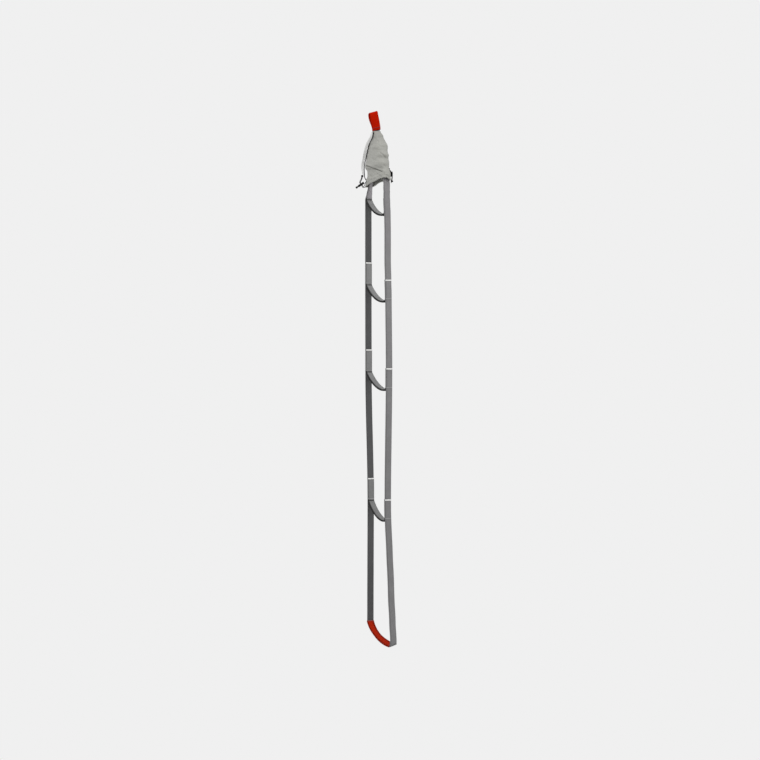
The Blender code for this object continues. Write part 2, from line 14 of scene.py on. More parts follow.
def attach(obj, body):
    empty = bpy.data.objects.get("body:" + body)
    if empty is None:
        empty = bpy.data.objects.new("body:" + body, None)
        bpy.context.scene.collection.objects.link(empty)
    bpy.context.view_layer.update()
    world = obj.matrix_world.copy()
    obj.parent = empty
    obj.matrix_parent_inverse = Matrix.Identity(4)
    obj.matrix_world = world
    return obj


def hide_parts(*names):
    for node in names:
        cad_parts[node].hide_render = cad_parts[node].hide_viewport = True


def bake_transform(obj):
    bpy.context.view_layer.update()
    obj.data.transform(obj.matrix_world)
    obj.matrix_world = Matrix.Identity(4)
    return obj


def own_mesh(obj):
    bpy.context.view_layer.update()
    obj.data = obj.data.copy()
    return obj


MM = 0.001

# Ladder
webbing_width = 19.3 * MM
webbing_thickness = 2.2 * MM
seat_gap = 0.3 * MM
rail_spacing = 138 * MM
step_depths = (247 * MM, 497 * MM, 752 * MM, 1129 * MM, 1483 * MM)
junction_drop = 50 * MM
right_corner_rise = 15 * MM
lap_length = 70 * MM
flex_below_junction = 8 * MM
bend_reach = 11 * MM            # how far webbing bends to each side of a joint
webbing_fullness = 1.2 * MM     # how much wider soft webbing lies than it is cut
webbing_wave = 0.35 * MM
webbing_wave_length = 45 * MM
head_wave = 0.7 * MM
end_steps = 4                   # steps of a rounded end, and the degrees of each
end_step_degrees = 20
rail_sides = (("left", -1), ("right", 1))

# Steps
sling_leaves = Vector((45 * MM, 0, -42 * MM))
sling_arrives = Vector((36 * MM, 0, 5 * MM))
sling_bend = 8 * MM
left_tail = 66 * MM
right_tail = 60 * MM
head_tail = 44 * MM
sling_points = 60
stiffener_thickness = 2.4 * MM
stiffener_width = 18.4 * MM
stiffener_trim = 3              # points of the sling that it leaves bare at each end
bottom_leaves = Vector((22 * MM, 0, -38 * MM))
bottom_arrives = Vector((46 * MM, 0, -1 * MM))
bottom_drop = 58 * MM
bottom_lap = 8 * MM
bottom_tail = 14 * MM
bottom_corner = 3 * MM
sleeve_wall = 0.8 * MM
sleeve_tack_inset = 2           # points of the sling between a sleeve's end and its tack
step_tail_x = rail_spacing / 2 - webbing_thickness - seat_gap

# Clip loop
loop_width = 25 * MM
loop_inner_width = 10 * MM
loop_hinge_depth = 51.5 * MM
loop_fold = 1.6 * MM
fold_clearance = 0.25 * MM
loop_wave = 0.25 * MM
loop_wave_length = 30 * MM
loop_ring_spacing = 1.2 * MM

# How the webbing's width tilts at the clip loop, and at the foot of the right rail: depth and slope
head_tilts = ((8 * MM, 0.29), (50 * MM, 0.23), (85 * MM, 0.0))
foot_tilts = ((1515 * MM, 0.0), (1542 * MM, 0.32))

# How the left webbing twists between the pouch and the first step: depth and degrees
mouth_twists = ((175 * MM, 0), (205 * MM, 38), (215 * MM, 36), (233 * MM, 22), (246 * MM, 0))

# How far each level stands off along Y
foot_drift = 11 * MM
ladder_drift = 17 * MM
left_drifts = (0 * MM, 0 * MM, 0.5 * MM, 7.5 * MM, 6.5 * MM)
right_drifts = (0 * MM, 0 * MM, 2 * MM, -2 * MM, 15 * MM)
right_sways = (
    (190 * MM, 1 * MM), (207 * MM, -1 * MM), (230 * MM, -5 * MM), (246 * MM, -5.6 * MM),
    (265 * MM, -4.6 * MM), (300 * MM, -3.2 * MM), (346 * MM, -2.4 * MM), (430 * MM, -2.4 * MM),
    (490 * MM, -1 * MM), (530 * MM, 0 * MM), (1240 * MM, 0 * MM), (1312 * MM, -1.6 * MM),
    (1414 * MM, -3.8 * MM), (1472 * MM, -2.2 * MM), (1530 * MM, 0.8 * MM),
)

# Stow pouch: depth, half width, half depth and drift at each level
pouch_levels = (
    (54 * MM, 10.4 * MM, 10.8 * MM, 11.1 * MM),
    (70 * MM, 22 * MM, 13.5 * MM, 14 * MM),
    (100 * MM, 42 * MM, 20 * MM, 15 * MM),
    (130 * MM, 55 * MM, 18 * MM, 14 * MM),
    (153 * MM, 60 * MM, 19.5 * MM, 13 * MM),
    (164 * MM, 61 * MM, 16 * MM, 14.8 * MM),
    (185 * MM, 65.5 * MM, 17 * MM, 16.7 * MM),
    (208 * MM, 70.5 * MM, 17 * MM, 17 * MM),
)
pouch_wall = 0.8 * MM
pouch_squareness = 3
front_hem_rise = 18 * MM
back_hem_rise = 12 * MM
front_hem_slope_share = 0.92
back_hem_slope_share = 0.45
gather_height = 1.2 * MM
gather_spacing = 24 * MM
hem_radius = 1.9 * MM
hem_drop_share = 0.7            # how far the hem hangs below the cloth's last row, in hem radii
mouth_stitch_rows = (4, 6)      # rows of the shell above the hem
mouth_stitch_stand_share = 0.55 # of the cloth's thickness

# Drawcords and their locks: places in mm, and the tail's points in mm from the lock's place
drawcord_diameter = 1.8 * MM
drawcord_radius = drawcord_diameter * 0.56      # a braid is a little fuller than its nominal size
strand_spacing = 2.2 * MM
barrel_radius = 3.5 * MM
lock_run_shares = (-2, -1.2, 0, 1.2, 1.8)       # straight points through the lock, in barrel radii
knot_radius = 2.6 * MM
knot_length = 4.6 * MM
knot_reach_share = 1.12         # of its radius, out to the cord's middle
knot_rise_share = 0.42          # of its length, up and down from its centre
knot_end_length = 3 * MM
knot_points = 96
locks = {
    "left": {
        "place": Vector((-55.5, -12.1, -204.2)) * MM,
        "axis": Vector((-0.351, -0.752, -0.557)),
        "cord_axis": Vector((-0.235, -0.505, 0.83)),
        "front": (
            (-49.8, 1.2, -195.4), (-50.8, -1.9, -201.0), (-51.3, -3.0, -207.0),
            (-52.4, -5.5, -210.3)),
        "back": ((-49.9, 0.9, -211.6), (-52.0, -4.6, -213.0), (-53.5, -7.9, -213.0)),
        "tail": ((-1.2, -2.5, 8.7), (-0.3, -0.6, 12.7), (0.5, 1.1, 17.0), (0.9, 1.9, 21.5)),
    },
    "right": {
        "place": Vector((32.0, 41.6, -178.0)) * MM,
        "axis": Vector((-0.45, -0.15, 0.88)),
        "cord_axis": Vector((0.89, 0.0, 0.455)),
        "front": ((6.0, 35.2, -194.6), (13.0, 39.6, -192.6), (20.0, 41.6, -186.6)),
        "back": ((7.0, 35.1, -189.6), (12.5, 39.4, -187.4), (19.5, 41.6, -182.8)),
        "tail": (
            (9.0, 0, 3.6), (11.2, -0.3, -0.5), (11.6, -0.7, -8.0), (11.4, -1.1, -15.0),
            (11.2, -1.5, -20.5)),
    },
}
spring_wire = 0.5 * MM
spring_radius = 2.2 * MM
spring_turns = 3
spring_steps = 24               # steps in one turn
spring_levels = (-7.95 * MM, -3.75 * MM)        # from the cord hole back along the lock

# Edge cord: its line in shares of the way down the pouch and degrees round it, its free foot in mm
edge_cord_diameter = 2.4 * MM
edge_cord_radius = edge_cord_diameter * 0.54
edge_cord_stand_share = 1.5     # how far it stands proud, as a share of lying on the cloth
edge_line = ((0.02, 288), (0.12, 272), (0.23, 261), (0.36, 250), (0.49, 236), (0.62, 223))
edge_cord_free = (
    (-51.9, -4.4, -164.5), (-51.7, -4.0, -173.5), (-51.0, -3.4, -183.0), (-49.4, 0.4, -192.0))

# Side strap
strap_width = 8 * MM
strap_thickness = 1.2 * MM
strap_end_width_share = 0.35
strap_columns = 10
strap_wave = 0.5 * MM
strap_outward = Vector((-0.4226, -0.9063, 0))

# Sewing
loop_tacks = ((43 * MM, "red_thread"), (50.5 * MM, "dark_thread"))
loop_tack_lift = 0.2 * MM
loop_tack_trim = 1 * MM
low_tack_height = 2.4 * MM
sleeve_tack_height = 3 * MM
tack_inset = 1.9 * MM
tack_lift = 0.5 * MM
junction_tack_rise = 5 * MM
# A dark bar tack just below each step's junction is painted shade in the crease where the webbing
# bends: how far below, its height and its trim
bend_shade_drop = 1 * MM
bend_shade_height = 3.0 * MM
bend_shade_trim = 0.6 * MM
row_offset = 6.5 * MM
row_sunk = 0.55 * MM
foot_trim = 3 * MM

# Pouch cloth: its folds as seen from the camera (width, depth, then points across and up, in mm)
crease_lines = (
    (1.9, 3.2, ((-43, -152.3), (-29.3, -154.6), (-11.9, -161), (4, -168), (13, -170.5))),
    (2.6, 1.6, ((2.8, -113.4), (12, -119), (23.5, -132.8))),
    (2.8, 1.0, ((-15.4, -104.4), (16.5, -108.8))),
    (3.2, 1.0, ((-32, -177), (-14, -187))),
    (2.6, 1.2, ((-9, -172), (7, -184), (14, -189))),
    (2.6, 0.9, ((-12, -72), (5, -86))),
    (2.8, 0.9, ((-22, -126), (-3, -141))),
    (2.6, 1.2, ((12, -148), (25, -158))),
    (2.4, 0.9, ((-2, -92), (10, -97))),
)
crease_end = 5.0                # mm over which a fold fades out at its ends
crease_ridge = (1.7, 1.4, 0.65) # beside it: offset and width in its widths, height in its depths
cord_hold = 14.0                # degrees round the pouch over which the edge cord holds the cloth
cord_hold_past = 0.06           # and how far below its sewn part, as a share of the pouch
tuck_levels = ((158 * MM, 0), (168 * MM, 3.4 * MM), (180 * MM, 3.4 * MM), (192 * MM, 0))
rumple_height = 0.9 * MM
ridge_height = 1.4              # in rumple heights
top_hold = 18 * MM              # how far down the gathered top holds the cloth
hem_hold = 12 * MM              # and how far up the hem does
shell_columns = 208
shell_rows = 120

# Fineness of the pieces and of their weave
edge_round_share = 0.47
ring_spacing = 2.2 * MM
column_spacing = 0.9 * MM
rib_pitch = 1.25 * MM
thread_pitch = 1.45 * MM
cloth_thread_pitch = 0.55 * MM

# Darker edges of the webbing, the -Y and the +Y one: where each starts, as a share of the width,
# and its shade
# The plain and clip edges are the webbing's own darker selvages; the rail, step and sleeve edges
# are that selvage widened and darkened by painted shade where the webbing's edges turn away from
# the light
plain_shade = 0.72
plain_edges = ((0.42, plain_shade), (0.42, plain_shade))
rail_edge_shade = ((0.27, 0.8), (0.45, 0.8))
# On the steps the near black -Y edge is painted shadow beside the black stiffener and also stands
# for the stiffener's own black edge
step_edge_shade = ((0.32, 0.1), (0.43, 0.5))
clip_edges = ((0.56, 0.8), (0.56, 0.7))
sleeve_edge_shade = ((0.38, 0.55), (0.2, 0.6))
edge_shade_blend = 0.06

# Painted shade: the webbing is darker further down, standing in for the light falling off towards
# the foot: by how much, and the heights between which it does
lower_shade_depth = 0.22
lower_shade_levels = (-1.2, -0.35)
left_lower_shade_levels = (-1.45, -1.05)

# Camera
camera_azimuth = math.radians(65)
camera_side = Vector((math.cos(camera_azimuth), math.sin(camera_azimuth), 0))
camera_towards = Vector((math.sin(camera_azimuth), -math.cos(camera_azimuth), 0))
camera_distance = 6.5
camera_height = -775.7 * MM
camera_lens = 106.0
picture_side_shift = 4.9 * MM

# Light, the suns with azimuth, elevation, strength and spread
surround_light = (1.0, 1.0, 1.0, 1.0)
surround_strength = 0.72
backdrop_grey = (0.871, 0.871, 0.871, 1.0)
suns = (("key", 30, 48, 1.1, 25), ("fill", 110, 20, 0.5, 40))
floor_height = -1970 * MM
floor_radius = 450 * MM
floor_tone = 0.89

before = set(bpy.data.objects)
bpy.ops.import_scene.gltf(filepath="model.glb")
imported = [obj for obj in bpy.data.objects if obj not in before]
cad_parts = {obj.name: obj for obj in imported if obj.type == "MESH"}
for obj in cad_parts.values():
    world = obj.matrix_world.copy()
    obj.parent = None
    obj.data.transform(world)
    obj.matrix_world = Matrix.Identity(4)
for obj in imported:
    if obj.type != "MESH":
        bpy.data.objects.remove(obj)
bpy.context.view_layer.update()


class Value:
    """A node socket on which Python arithmetic adds Math nodes."""

    def __init__(self, nodes, socket):
        self.nodes = nodes
        self.socket = socket

    def maths(self, operation, *values):
        """One Math node with these values."""
        return self.nodes.add("ShaderNodeMath", {"operation": operation}, dict(enumerate(values)))

    def __add__(self, other):
        return self.maths("ADD", self, other)

    def __radd__(self, other):
        return self.maths("ADD", other, self)

    def __sub__(self, other):
        return self.maths("SUBTRACT", self, other)

    def __rsub__(self, other):
        return self.maths("SUBTRACT", other, self)

    def __mul__(self, other):
        return self.maths("MULTIPLY", self, other)

    def __rmul__(self, other):
        return self.maths("MULTIPLY", other, self)

    def __truediv__(self, other):
        return self.maths("DIVIDE", self, other)

    def __rtruediv__(self, other):
        return self.maths("DIVIDE", other, self)

    def __pow__(self, other):
        return self.maths("POWER", self, other)

    def sine(self):
        """The sine of an angle in radians."""
        return self.maths("SINE", self)

    def size(self):
        """The value without its sign."""
        return self.maths("ABSOLUTE", self)

    def floor(self):
        """The whole number below."""
        return self.maths("FLOOR", self)

    def modulo(self, other):
        """What is left after whole steps of other."""
        return self.maths("FLOORED_MODULO", self, other)

    def step(self, low, high):
        """0 below low, 1 above high, and a smooth rise between them."""
        return self.nodes.add(
            "ShaderNodeMapRange", {"interpolation_type": "SMOOTHSTEP"},
            {"Value": self, "From Min": low, "From Max": high})


class Nodes:
    """A node tree being wired up."""

    def __init__(self, tree):
        self.tree = tree

    def add(self, kind, settings=None, inputs=None, output=0):
        """A node of one type: its settings first, then the values or links of its sockets."""
        node = self.tree.nodes.new(kind)
        for name, value in (settings or {}).items():
            setattr(node, name, value)
        for name, value in (inputs or {}).items():
            socket = node.inputs[name]
            if isinstance(value, Value):
                self.tree.links.new(value.socket, socket)
            else:
                socket.default_value = value
        return Value(self, node.outputs[output])


class Finish(Nodes):
    """A material on one Principled shader."""

    def __init__(self, name, **plain):
        self.material = bpy.data.materials.new(name)
        self.material.use_nodes = True
        super().__init__(self.material.node_tree)
        self.shader = self.tree.nodes["Principled BSDF"]
        for socket, value in plain.items():
            self.shader.inputs[socket.replace("_", " ")].default_value = value

    def set(self, socket, value):
        """Feed one of the shader's sockets."""
        self.tree.links.new(value.socket, self.shader.inputs[socket])

    def attribute(self, name):
        """A number that the piece's mesh carries."""
        return self.add("ShaderNodeAttribute", {"attribute_name": name}, output="Fac")

    def place(self):
        """Object coordinates."""
        return self.add("ShaderNodeTexCoord", output="Object")

    def speckle(self, scale, detail=2.0):
        """Noise at a scale per metre."""
        inputs = {"Vector": self.place(), "Scale": scale, "Detail": detail}
        return self.add("ShaderNodeTexNoise", None, inputs, output="Fac")

    def mix(self, share, first, second):
        """A colour between two colours."""
        inputs = {0: share, 6: first, 7: second}
        return self.add("ShaderNodeMix", {"data_type": "RGBA"}, inputs, output=2)

    def shade(self, colour, factor):
        """A colour made lighter or darker by a number."""
        plain = colour if isinstance(colour, Value) else colour[:3]
        return self.add(
            "ShaderNodeVectorMath", {"operation": "SCALE"}, {0: plain, "Scale": factor})

    def relief(self, height, depth):
        """Raise the surface by height, up to a depth in metres."""
        self.set("Normal", self.add("ShaderNodeBump", None, {"Height": height, "Distance": depth}))


def colour(red, green, blue):
    """A colour from 8-bit screen values."""
    def linear(value):
        value /= 255
        return value / 12.92 if value <= 0.04045 else ((value + 0.055) / 1.055) ** 2.4
    return (linear(red), linear(green), linear(blue), 1.0)


class Shape(Nodes):
    """A geometry tree with named inputs, run on a mesh and turned into a plain piece."""

    def __init__(self, name, **inputs):
        super().__init__(bpy.data.node_groups.new(name, "GeometryNodeTree"))
        interface = self.tree.interface
        interface.new_socket("Geometry", in_out="INPUT", socket_type="NodeSocketGeometry")
        interface.new_socket("Geometry", in_out="OUTPUT", socket_type="NodeSocketGeometry")
        for title, kind in {**inputs, "Material": "Material"}.items():
            interface.new_socket(
                title.replace("_", " "), in_out="INPUT", socket_type=f"NodeSocket{kind}")
        self.entry = self.tree.nodes.new("NodeGroupInput")
        self.leave = self.tree.nodes.new("NodeGroupOutput")

    def given(self, title):
        """One of the tree's own inputs."""
        return Value(self, self.entry.outputs[title])

    def carried(self, name, data_type="FLOAT"):
        """An attribute that the geometry carries."""
        return self.add("GeometryNodeInputNamedAttribute", {"data_type": data_type}, {"Name": name})

    def keep(self, geometry, name, value):
        """Store a number on every point."""
        return self.add("GeometryNodeStoreNamedAttribute", None,
                        {"Geometry": geometry, "Name": name, "Value": value})

    def path(self):
        """The object's line as a curve, its normals turned to the side that the line carries."""
        curve = self.add("GeometryNodeMeshToCurve", None, {"Mesh": self.given("Geometry")})
        return self.add("GeometryNodeSetCurveNormal", {"mode": "FREE"},
                        {"Curve": curve, "Normal": self.carried("side", "FLOAT_VECTOR")})

    def spaced(self, curve, length):
        """The curve with points at a set spacing."""
        return self.add(
            "GeometryNodeResampleCurve", {"mode": "LENGTH"}, {"Curve": curve, "Length": length})

    def swept(self, line, section):
        """A section swept along a line, closed at both ends."""
        return self.add("GeometryNodeCurveToMesh", None,
                        {"Curve": line, "Profile Curve": section, "Fill Caps": True})

    def turned(self, primary, secondary):
        """The turn that takes X to one direction and Z to another."""
        return self.add("FunctionNodeAxesToRotation", {"primary_axis": "X", "secondary_axis": "Z"},
                        {"Primary Axis": primary, "Secondary Axis": secondary})

    def stretched(self, vector, factor):
        """A vector made longer or shorter by a number."""
        return self.add(
            "ShaderNodeVectorMath", {"operation": "SCALE"}, {0: vector, "Scale": factor})

    def end(self, geometry):
        """Realised, smooth and with its material."""
        real = self.add("GeometryNodeRealizeInstances", None, {"Geometry": geometry})
        smooth = self.add("GeometryNodeSetShadeSmooth", None, {"Geometry": real})
        ended = self.add("GeometryNodeSetMaterial", None,
                         {"Geometry": smooth, "Material": self.given("Material")})
        self.tree.links.new(ended.socket, self.leave.inputs["Geometry"])

    def make(self, name, mesh, material, **values):
        """Run the tree on a mesh: the result is a plain mesh on an object of its own."""
        holder = bpy.data.objects.new(name + "_line", mesh)
        bpy.context.scene.collection.objects.link(holder)
        modifier = holder.modifiers.new("shape", "NODES")
        modifier.node_group = self.tree
        values["Material"] = material
        for item in self.tree.interface.items_tree:
            key = item.name.replace(" ", "_")
            if item.in_out == "INPUT" and key in values:
                modifier[item.identifier] = values[key]
        bpy.context.view_layer.update()
        shown = holder.evaluated_get(bpy.context.evaluated_depsgraph_get())
        plain = bpy.data.meshes.new_from_object(shown)
        bpy.data.objects.remove(holder)
        bpy.data.meshes.remove(mesh)
        return piece(name, plain)


def piece(name, mesh, material=None):
    """An object for a finished mesh."""
    made = bpy.data.objects.new(name, mesh)
    if material:
        mesh.materials.clear()
        mesh.materials.append(material)
    bpy.context.scene.collection.objects.link(made)
    return made


def settle(made, body, slot, *nodes):
    """Hide the nodes that a piece stands for and hang it on the body that it rides on; its slot is
    not used.
    """
    if nodes:
        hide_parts(*nodes)
    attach(made, body)


def line_mesh(name, lines, sides):
    """Polylines as edges, each point carrying the side that its webbing or stitch faces."""
    mesh = bpy.data.meshes.new(name)
    form = bmesh.new()
    layer = form.verts.layers.float_vector.new("side")
    for line, line_sides in zip(lines, sides):
        verts = []
        for point, side in zip(line, line_sides):
            vert = form.verts.new(point)
            vert[layer] = side
            verts.append(vert)
        for start, end in zip(verts, verts[1:]):
            form.edges.new((start, end))
        if (line[0] - line[-1]).length < seat_gap:
            bmesh.ops.pointmerge(form, verts=[verts[0], verts[-1]], merge_co=line[0])
    form.to_mesh(mesh)
    form.free()
    return mesh


def webbing_tree():
    """Flat webbing along a line: soft edges, a little wave, and its place along and across."""
    tree = Shape(
        "webbing", Width="Float", Thickness="Float", Edge_Round="Float", Ring_Spacing="Float",
        Column_Spacing="Float", Wave_Height="Float", Wave_Length="Float", Seed="Float")
    line = tree.spaced(tree.path(), tree.given("Ring Spacing"))
    line = tree.keep(line, "along", tree.add("GeometryNodeSplineParameter", output="Length"))
    section = tree.add("GeometryNodeCurvePrimitiveQuadrilateral", None,
                       {"Width": tree.given("Thickness"), "Height": tree.given("Width")})
    section = tree.add("GeometryNodeFilletCurve", {"mode": "POLY"}, {
        "Curve": section, "Count": 3, "Radius": tree.given("Edge Round")})
    section = tree.spaced(section, tree.given("Column Spacing"))
    place = tree.add("GeometryNodeInputPosition")
    across = tree.add("ShaderNodeSeparateXYZ", None, {0: place}, output="Y")
    face = tree.add("ShaderNodeSeparateXYZ", None, {0: place}, output="X")
    section = tree.keep(section, "across", across)
    section = tree.keep(section, "face", face * 2 / tree.given("Thickness"))
    body = tree.swept(line, section)
    spot = tree.add("ShaderNodeCombineXYZ", None, {
        "X": tree.carried("along") / tree.given("Wave Length"),
        "Y": tree.carried("across") / tree.given("Wave Length"),
        "Z": tree.given("Seed")})
    swing = tree.add("ShaderNodeTexNoise", None, {"Vector": spot, "Scale": 1.0, "Detail": 2.0})
    reach = (swing - 0.5) * 2 * tree.given("Wave Height")
    push = tree.stretched(tree.carried("side", "FLOAT_VECTOR"), reach)
    tree.end(tree.add("GeometryNodeSetPosition", None, {"Geometry": body, "Offset": push}))
    return tree


def cord_tree():
    """Round cord, wire or rolled cloth along a line, lumpy if asked, and its place around."""
    tree = Shape(
        "cord", Radius="Float", Sides="Int", Spacing="Float", Lump="Float", Lump_Length="Float")
    line = tree.spaced(tree.path(), tree.given("Spacing"))
    line = tree.keep(line, "along", tree.add("GeometryNodeSplineParameter", output="Length"))
    section = tree.add("GeometryNodeCurvePrimitiveCircle", None,
                       {"Resolution": tree.given("Sides"), "Radius": tree.given("Radius")})
    place = tree.add("GeometryNodeInputPosition")
    for name, axis in (("around_x", "X"), ("around_y", "Y")):
        part = tree.add("ShaderNodeSeparateXYZ", None, {0: place}, output=axis)
        section = tree.keep(section, name, part)
    body = tree.swept(line, section)
    spot = tree.stretched(tree.add("GeometryNodeInputPosition"), 1 / tree.given("Lump Length"))
    swell = tree.add("ShaderNodeTexNoise", None, {"Vector": spot, "Scale": 1.0}) - 0.5
    swell = swell * tree.given("Lump")
    push = tree.stretched(tree.add("GeometryNodeInputNormal"), swell)
    tree.end(tree.add("GeometryNodeSetPosition", None, {"Geometry": body, "Offset": push}))
    return tree


def stitch_tree():
    """Running stitches along a line."""
    tree = Shape("stitches", Pitch="Float", Stitch_Length="Float", Thread_Radius="Float")
    line = tree.spaced(tree.path(), tree.given("Pitch"))
    turn = tree.turned(tree.add("GeometryNodeInputTangent"), tree.carried("side", "FLOAT_VECTOR"))
    thread = tree.given("Thread Radius")
    size = tree.add("ShaderNodeCombineXYZ", None,
                    {"X": tree.given("Stitch Length") / 2, "Y": thread, "Z": thread})
    bead = tree.add("GeometryNodeMeshUVSphere", None, {"Segments": 8, "Rings": 6, "Radius": 1.0})
    tree.end(tree.add("GeometryNodeInstanceOnPoints", None,
                      {"Points": line, "Instance": bead, "Rotation": turn, "Scale": size}))
    return tree


def tack_tree():
    """A bar tack at each point: one thread sewn closely to and fro."""
    tree = Shape("bar tacks", Width="Float", Height="Float", Passes="Int", Thread_Radius="Float")
    half = tree.given("Width") / 2
    start = tree.add("ShaderNodeCombineXYZ", None, {"X": 0 - half})
    end = tree.add("ShaderNodeCombineXYZ", None, {"X": half})
    run = tree.add("GeometryNodeCurvePrimitiveLine", None, {"Start": start, "End": end})
    run = tree.add("GeometryNodeResampleCurve", {"mode": "COUNT"},
                   {"Curve": run, "Count": tree.given("Passes")})
    side = tree.add("GeometryNodeInputIndex").modulo(2) - 0.5
    swing = tree.add("ShaderNodeCombineXYZ", None, {"Y": side * tree.given("Height")})
    run = tree.add("GeometryNodeSetPosition", None, {"Geometry": run, "Offset": swing})
    run = tree.spaced(run, tree.given("Thread Radius") * 1.5)
    ring = tree.add("GeometryNodeCurvePrimitiveCircle", None,
                    {"Resolution": 5, "Radius": tree.given("Thread Radius")})
    thread = tree.swept(run, ring)
    turn = tree.turned((0, 1, 0), tree.carried("side", "FLOAT_VECTOR"))
    tree.end(tree.add("GeometryNodeInstanceOnPoints", None,
                      {"Points": tree.given("Geometry"), "Instance": thread, "Rotation": turn}))
    return tree


def clamped(value):
    """The value held between 0 and 1."""
    return min(max(value, 0), 1)


def eased(share):
    """A share from 0 to 1 with a soft start and end."""
    return share * share * (3 - 2 * share)


def drift(point):
    """How far the webbing stands off along Y at a point of the ladder."""
    share = clamped(point.x / rail_spacing + 0.5)
    sides = []
    for drifts in (left_drifts, right_drifts):
        levels = [(0, 0), (loop_hinge_depth, foot_drift)]
        levels += [(depth, ladder_drift + value) for depth, value in zip(step_depths, drifts)]
        sides.append(between(levels, -point.z))
    sides[1] += between(right_sways, -point.z) if -point.z > right_sways[0][0] else 0
    return sides[0] + (sides[1] - sides[0]) * share


def between(levels, depth):
    """A value that eases from level to level."""
    if depth <= levels[0][0]:
        return levels[0][1]
    for (top, start), (foot, end) in zip(levels, levels[1:]):
        if depth <= foot:
            return start + (end - start) * eased((depth - top) / (foot - top))
    return levels[-1][1]


def arc(centre, radius, start, end, steps):
    """Points on an arc in the XZ plane, angles from +X towards +Z."""
    angles = [start + (end - start) * step / steps for step in range(steps + 1)]
    return [centre + Vector((math.cos(angle), 0, math.sin(angle))) * radius for angle in angles]


def bend(before, corner, after, radius, steps=10):
    """The arc that rounds one corner of a route."""
    inward = (before - corner).normalized()
    outward = (after - corner).normalized()
    half = inward.angle(outward) / 2
    centre = corner + (inward + outward).normalized() * (radius / math.sin(half))
    start = (corner + inward * (radius / math.tan(half)) - centre).normalized()
    end = (corner + outward * (radius / math.tan(half)) - centre).normalized()
    return [centre + start.slerp(end, step / steps) * radius for step in range(steps + 1)]


def tangent(centre, radius, outside, side):
    """Where a line from an outside point touches a circle in the XZ plane."""
    away = outside - centre
    turn = side * math.acos(radius / away.length)
    return centre + Matrix.Rotation(turn, 3, "Y") @ (away.normalized() * radius)


def smooth(points, steps):
    """A smooth curve through given points."""
    ends = [points[0], *points, points[-1]]
    route = []
    for before, start, end, after in zip(ends, ends[1:], ends[2:], ends[3:]):
        leave = start + (end - before) / 6
        arrive = end - (after - start) / 6
        route += interpolate_bezier(start, leave, arrive, end, steps + 1)[:-1]
    return [*route, points[-1]]


def dense(route, spacing=2 * MM):
    """The route with more points on its long straight parts."""
    points = [route[0]]
    for start, end in zip(route, route[1:]):
        count = max(1, round((end - start).length / spacing))
        points += [start.lerp(end, step / count) for step in range(1, count + 1)]
    return points


def sides_of(route):
    """The side that a route in the XZ plane turns to its right hand, seen from -Y."""
    sides = []
    for index in range(len(route)):
        ahead = route[min(index + 1, len(route) - 1)] - route[max(index - 1, 0)]
        sides.append(Vector((ahead.z, 0, -ahead.x)).normalized())
    return sides


def length_of(route):
    """How long a route is."""
    return sum((end - start).length for start, end in zip(route, route[1:]))


def drifted(route):
    """The route at its place along Y."""
    return [Vector((point.x, drift(point), point.z)) for point in route]


def leaned(made, levels):
    """Skew a piece's webbing, so that at each depth one edge stands higher than the other."""
    for vert in made.data.vertices:
        vert.co.z += (vert.co.y - drift(vert.co)) * between(levels, -vert.co.z)
    return made


def twisted(made):
    """Twist a piece's webbing about the line of the left head webbing."""
    touch, corner = head_line(-1)
    for vert in made.data.vertices:
        middle = touch.lerp(corner, (vert.co.z - touch.z) / (corner.z - touch.z))
        middle.y = drift(middle)
        turn = Matrix.Rotation(math.radians(between(mouth_twists, -vert.co.z)), 3, "Z")
        vert.co = middle + turn @ (vert.co - middle)
    return made


def rounded(made, depth, way):
    """Round an end of upright webbing about the line it turns on: its foot (-1) or its top (1)."""
    form = bmesh.new()
    form.from_mesh(made.data)
    caps = [face for face in form.faces
            if face.normal.z * way > 0.8 and abs(face.calc_center_median().z + depth) < MM / 2]
    middle = sum(vert.co.x for vert in caps[0].verts) / len(caps[0].verts)
    radius = max(abs(vert.co.x - middle) for vert in caps[0].verts)
    for step in range(end_steps):
        last = math.radians(end_step_degrees * step)
        turn = math.radians(end_step_degrees * (step + 1))
        grown = bmesh.ops.extrude_face_region(form, geom=caps)["geom"]
        bmesh.ops.delete(form, geom=caps, context="FACES_ONLY")
        caps = [part for part in grown if isinstance(part, bmesh.types.BMFace)]
        for vert in (part for part in grown if isinstance(part, bmesh.types.BMVert)):
            vert.co.z += way * radius * (math.sin(turn) - math.sin(last))
            vert.co.x = middle + (vert.co.x - middle) * math.cos(turn) / math.cos(last)
    form.to_mesh(made.data)
    form.free()
    return made


def webbing(name, route, width, thickness, material, seed, wave=webbing_wave):
    """A webbing piece along a route in the XZ plane."""
    mesh = line_mesh(name + "_route", [drifted(route)], [sides_of(route)])
    return shapes["webbing"].make(
        name, mesh, material, Width=width + webbing_fullness, Thickness=thickness,
        Edge_Round=thickness * edge_round_share, Ring_Spacing=ring_spacing,
        Column_Spacing=column_spacing, Wave_Height=wave, Wave_Length=webbing_wave_length, Seed=seed)


def round_cord(
        name, route, radius, material, sides=12, spacing=0.8 * MM, lump=0.0, lump_length=6 * MM):
    """A round cord along a smooth route."""
    facing = [Vector((0, 1, 0.01))] * len(route)
    mesh = line_mesh(name + "_route", [route], [facing])
    return shapes["cord"].make(
        name, mesh, material, Radius=radius, Sides=sides, Spacing=spacing, Lump=lump,
        Lump_Length=lump_length)


def stitches(name, lines, sides, material, pitch=3.4 * MM, length=2.5 * MM, radius=0.32 * MM):
    """Running stitches along several lines."""
    mesh = line_mesh(name + "_route", lines, sides)
    return shapes["stitches"].make(
        name, mesh, material, Pitch=pitch, Stitch_Length=length, Thread_Radius=radius)


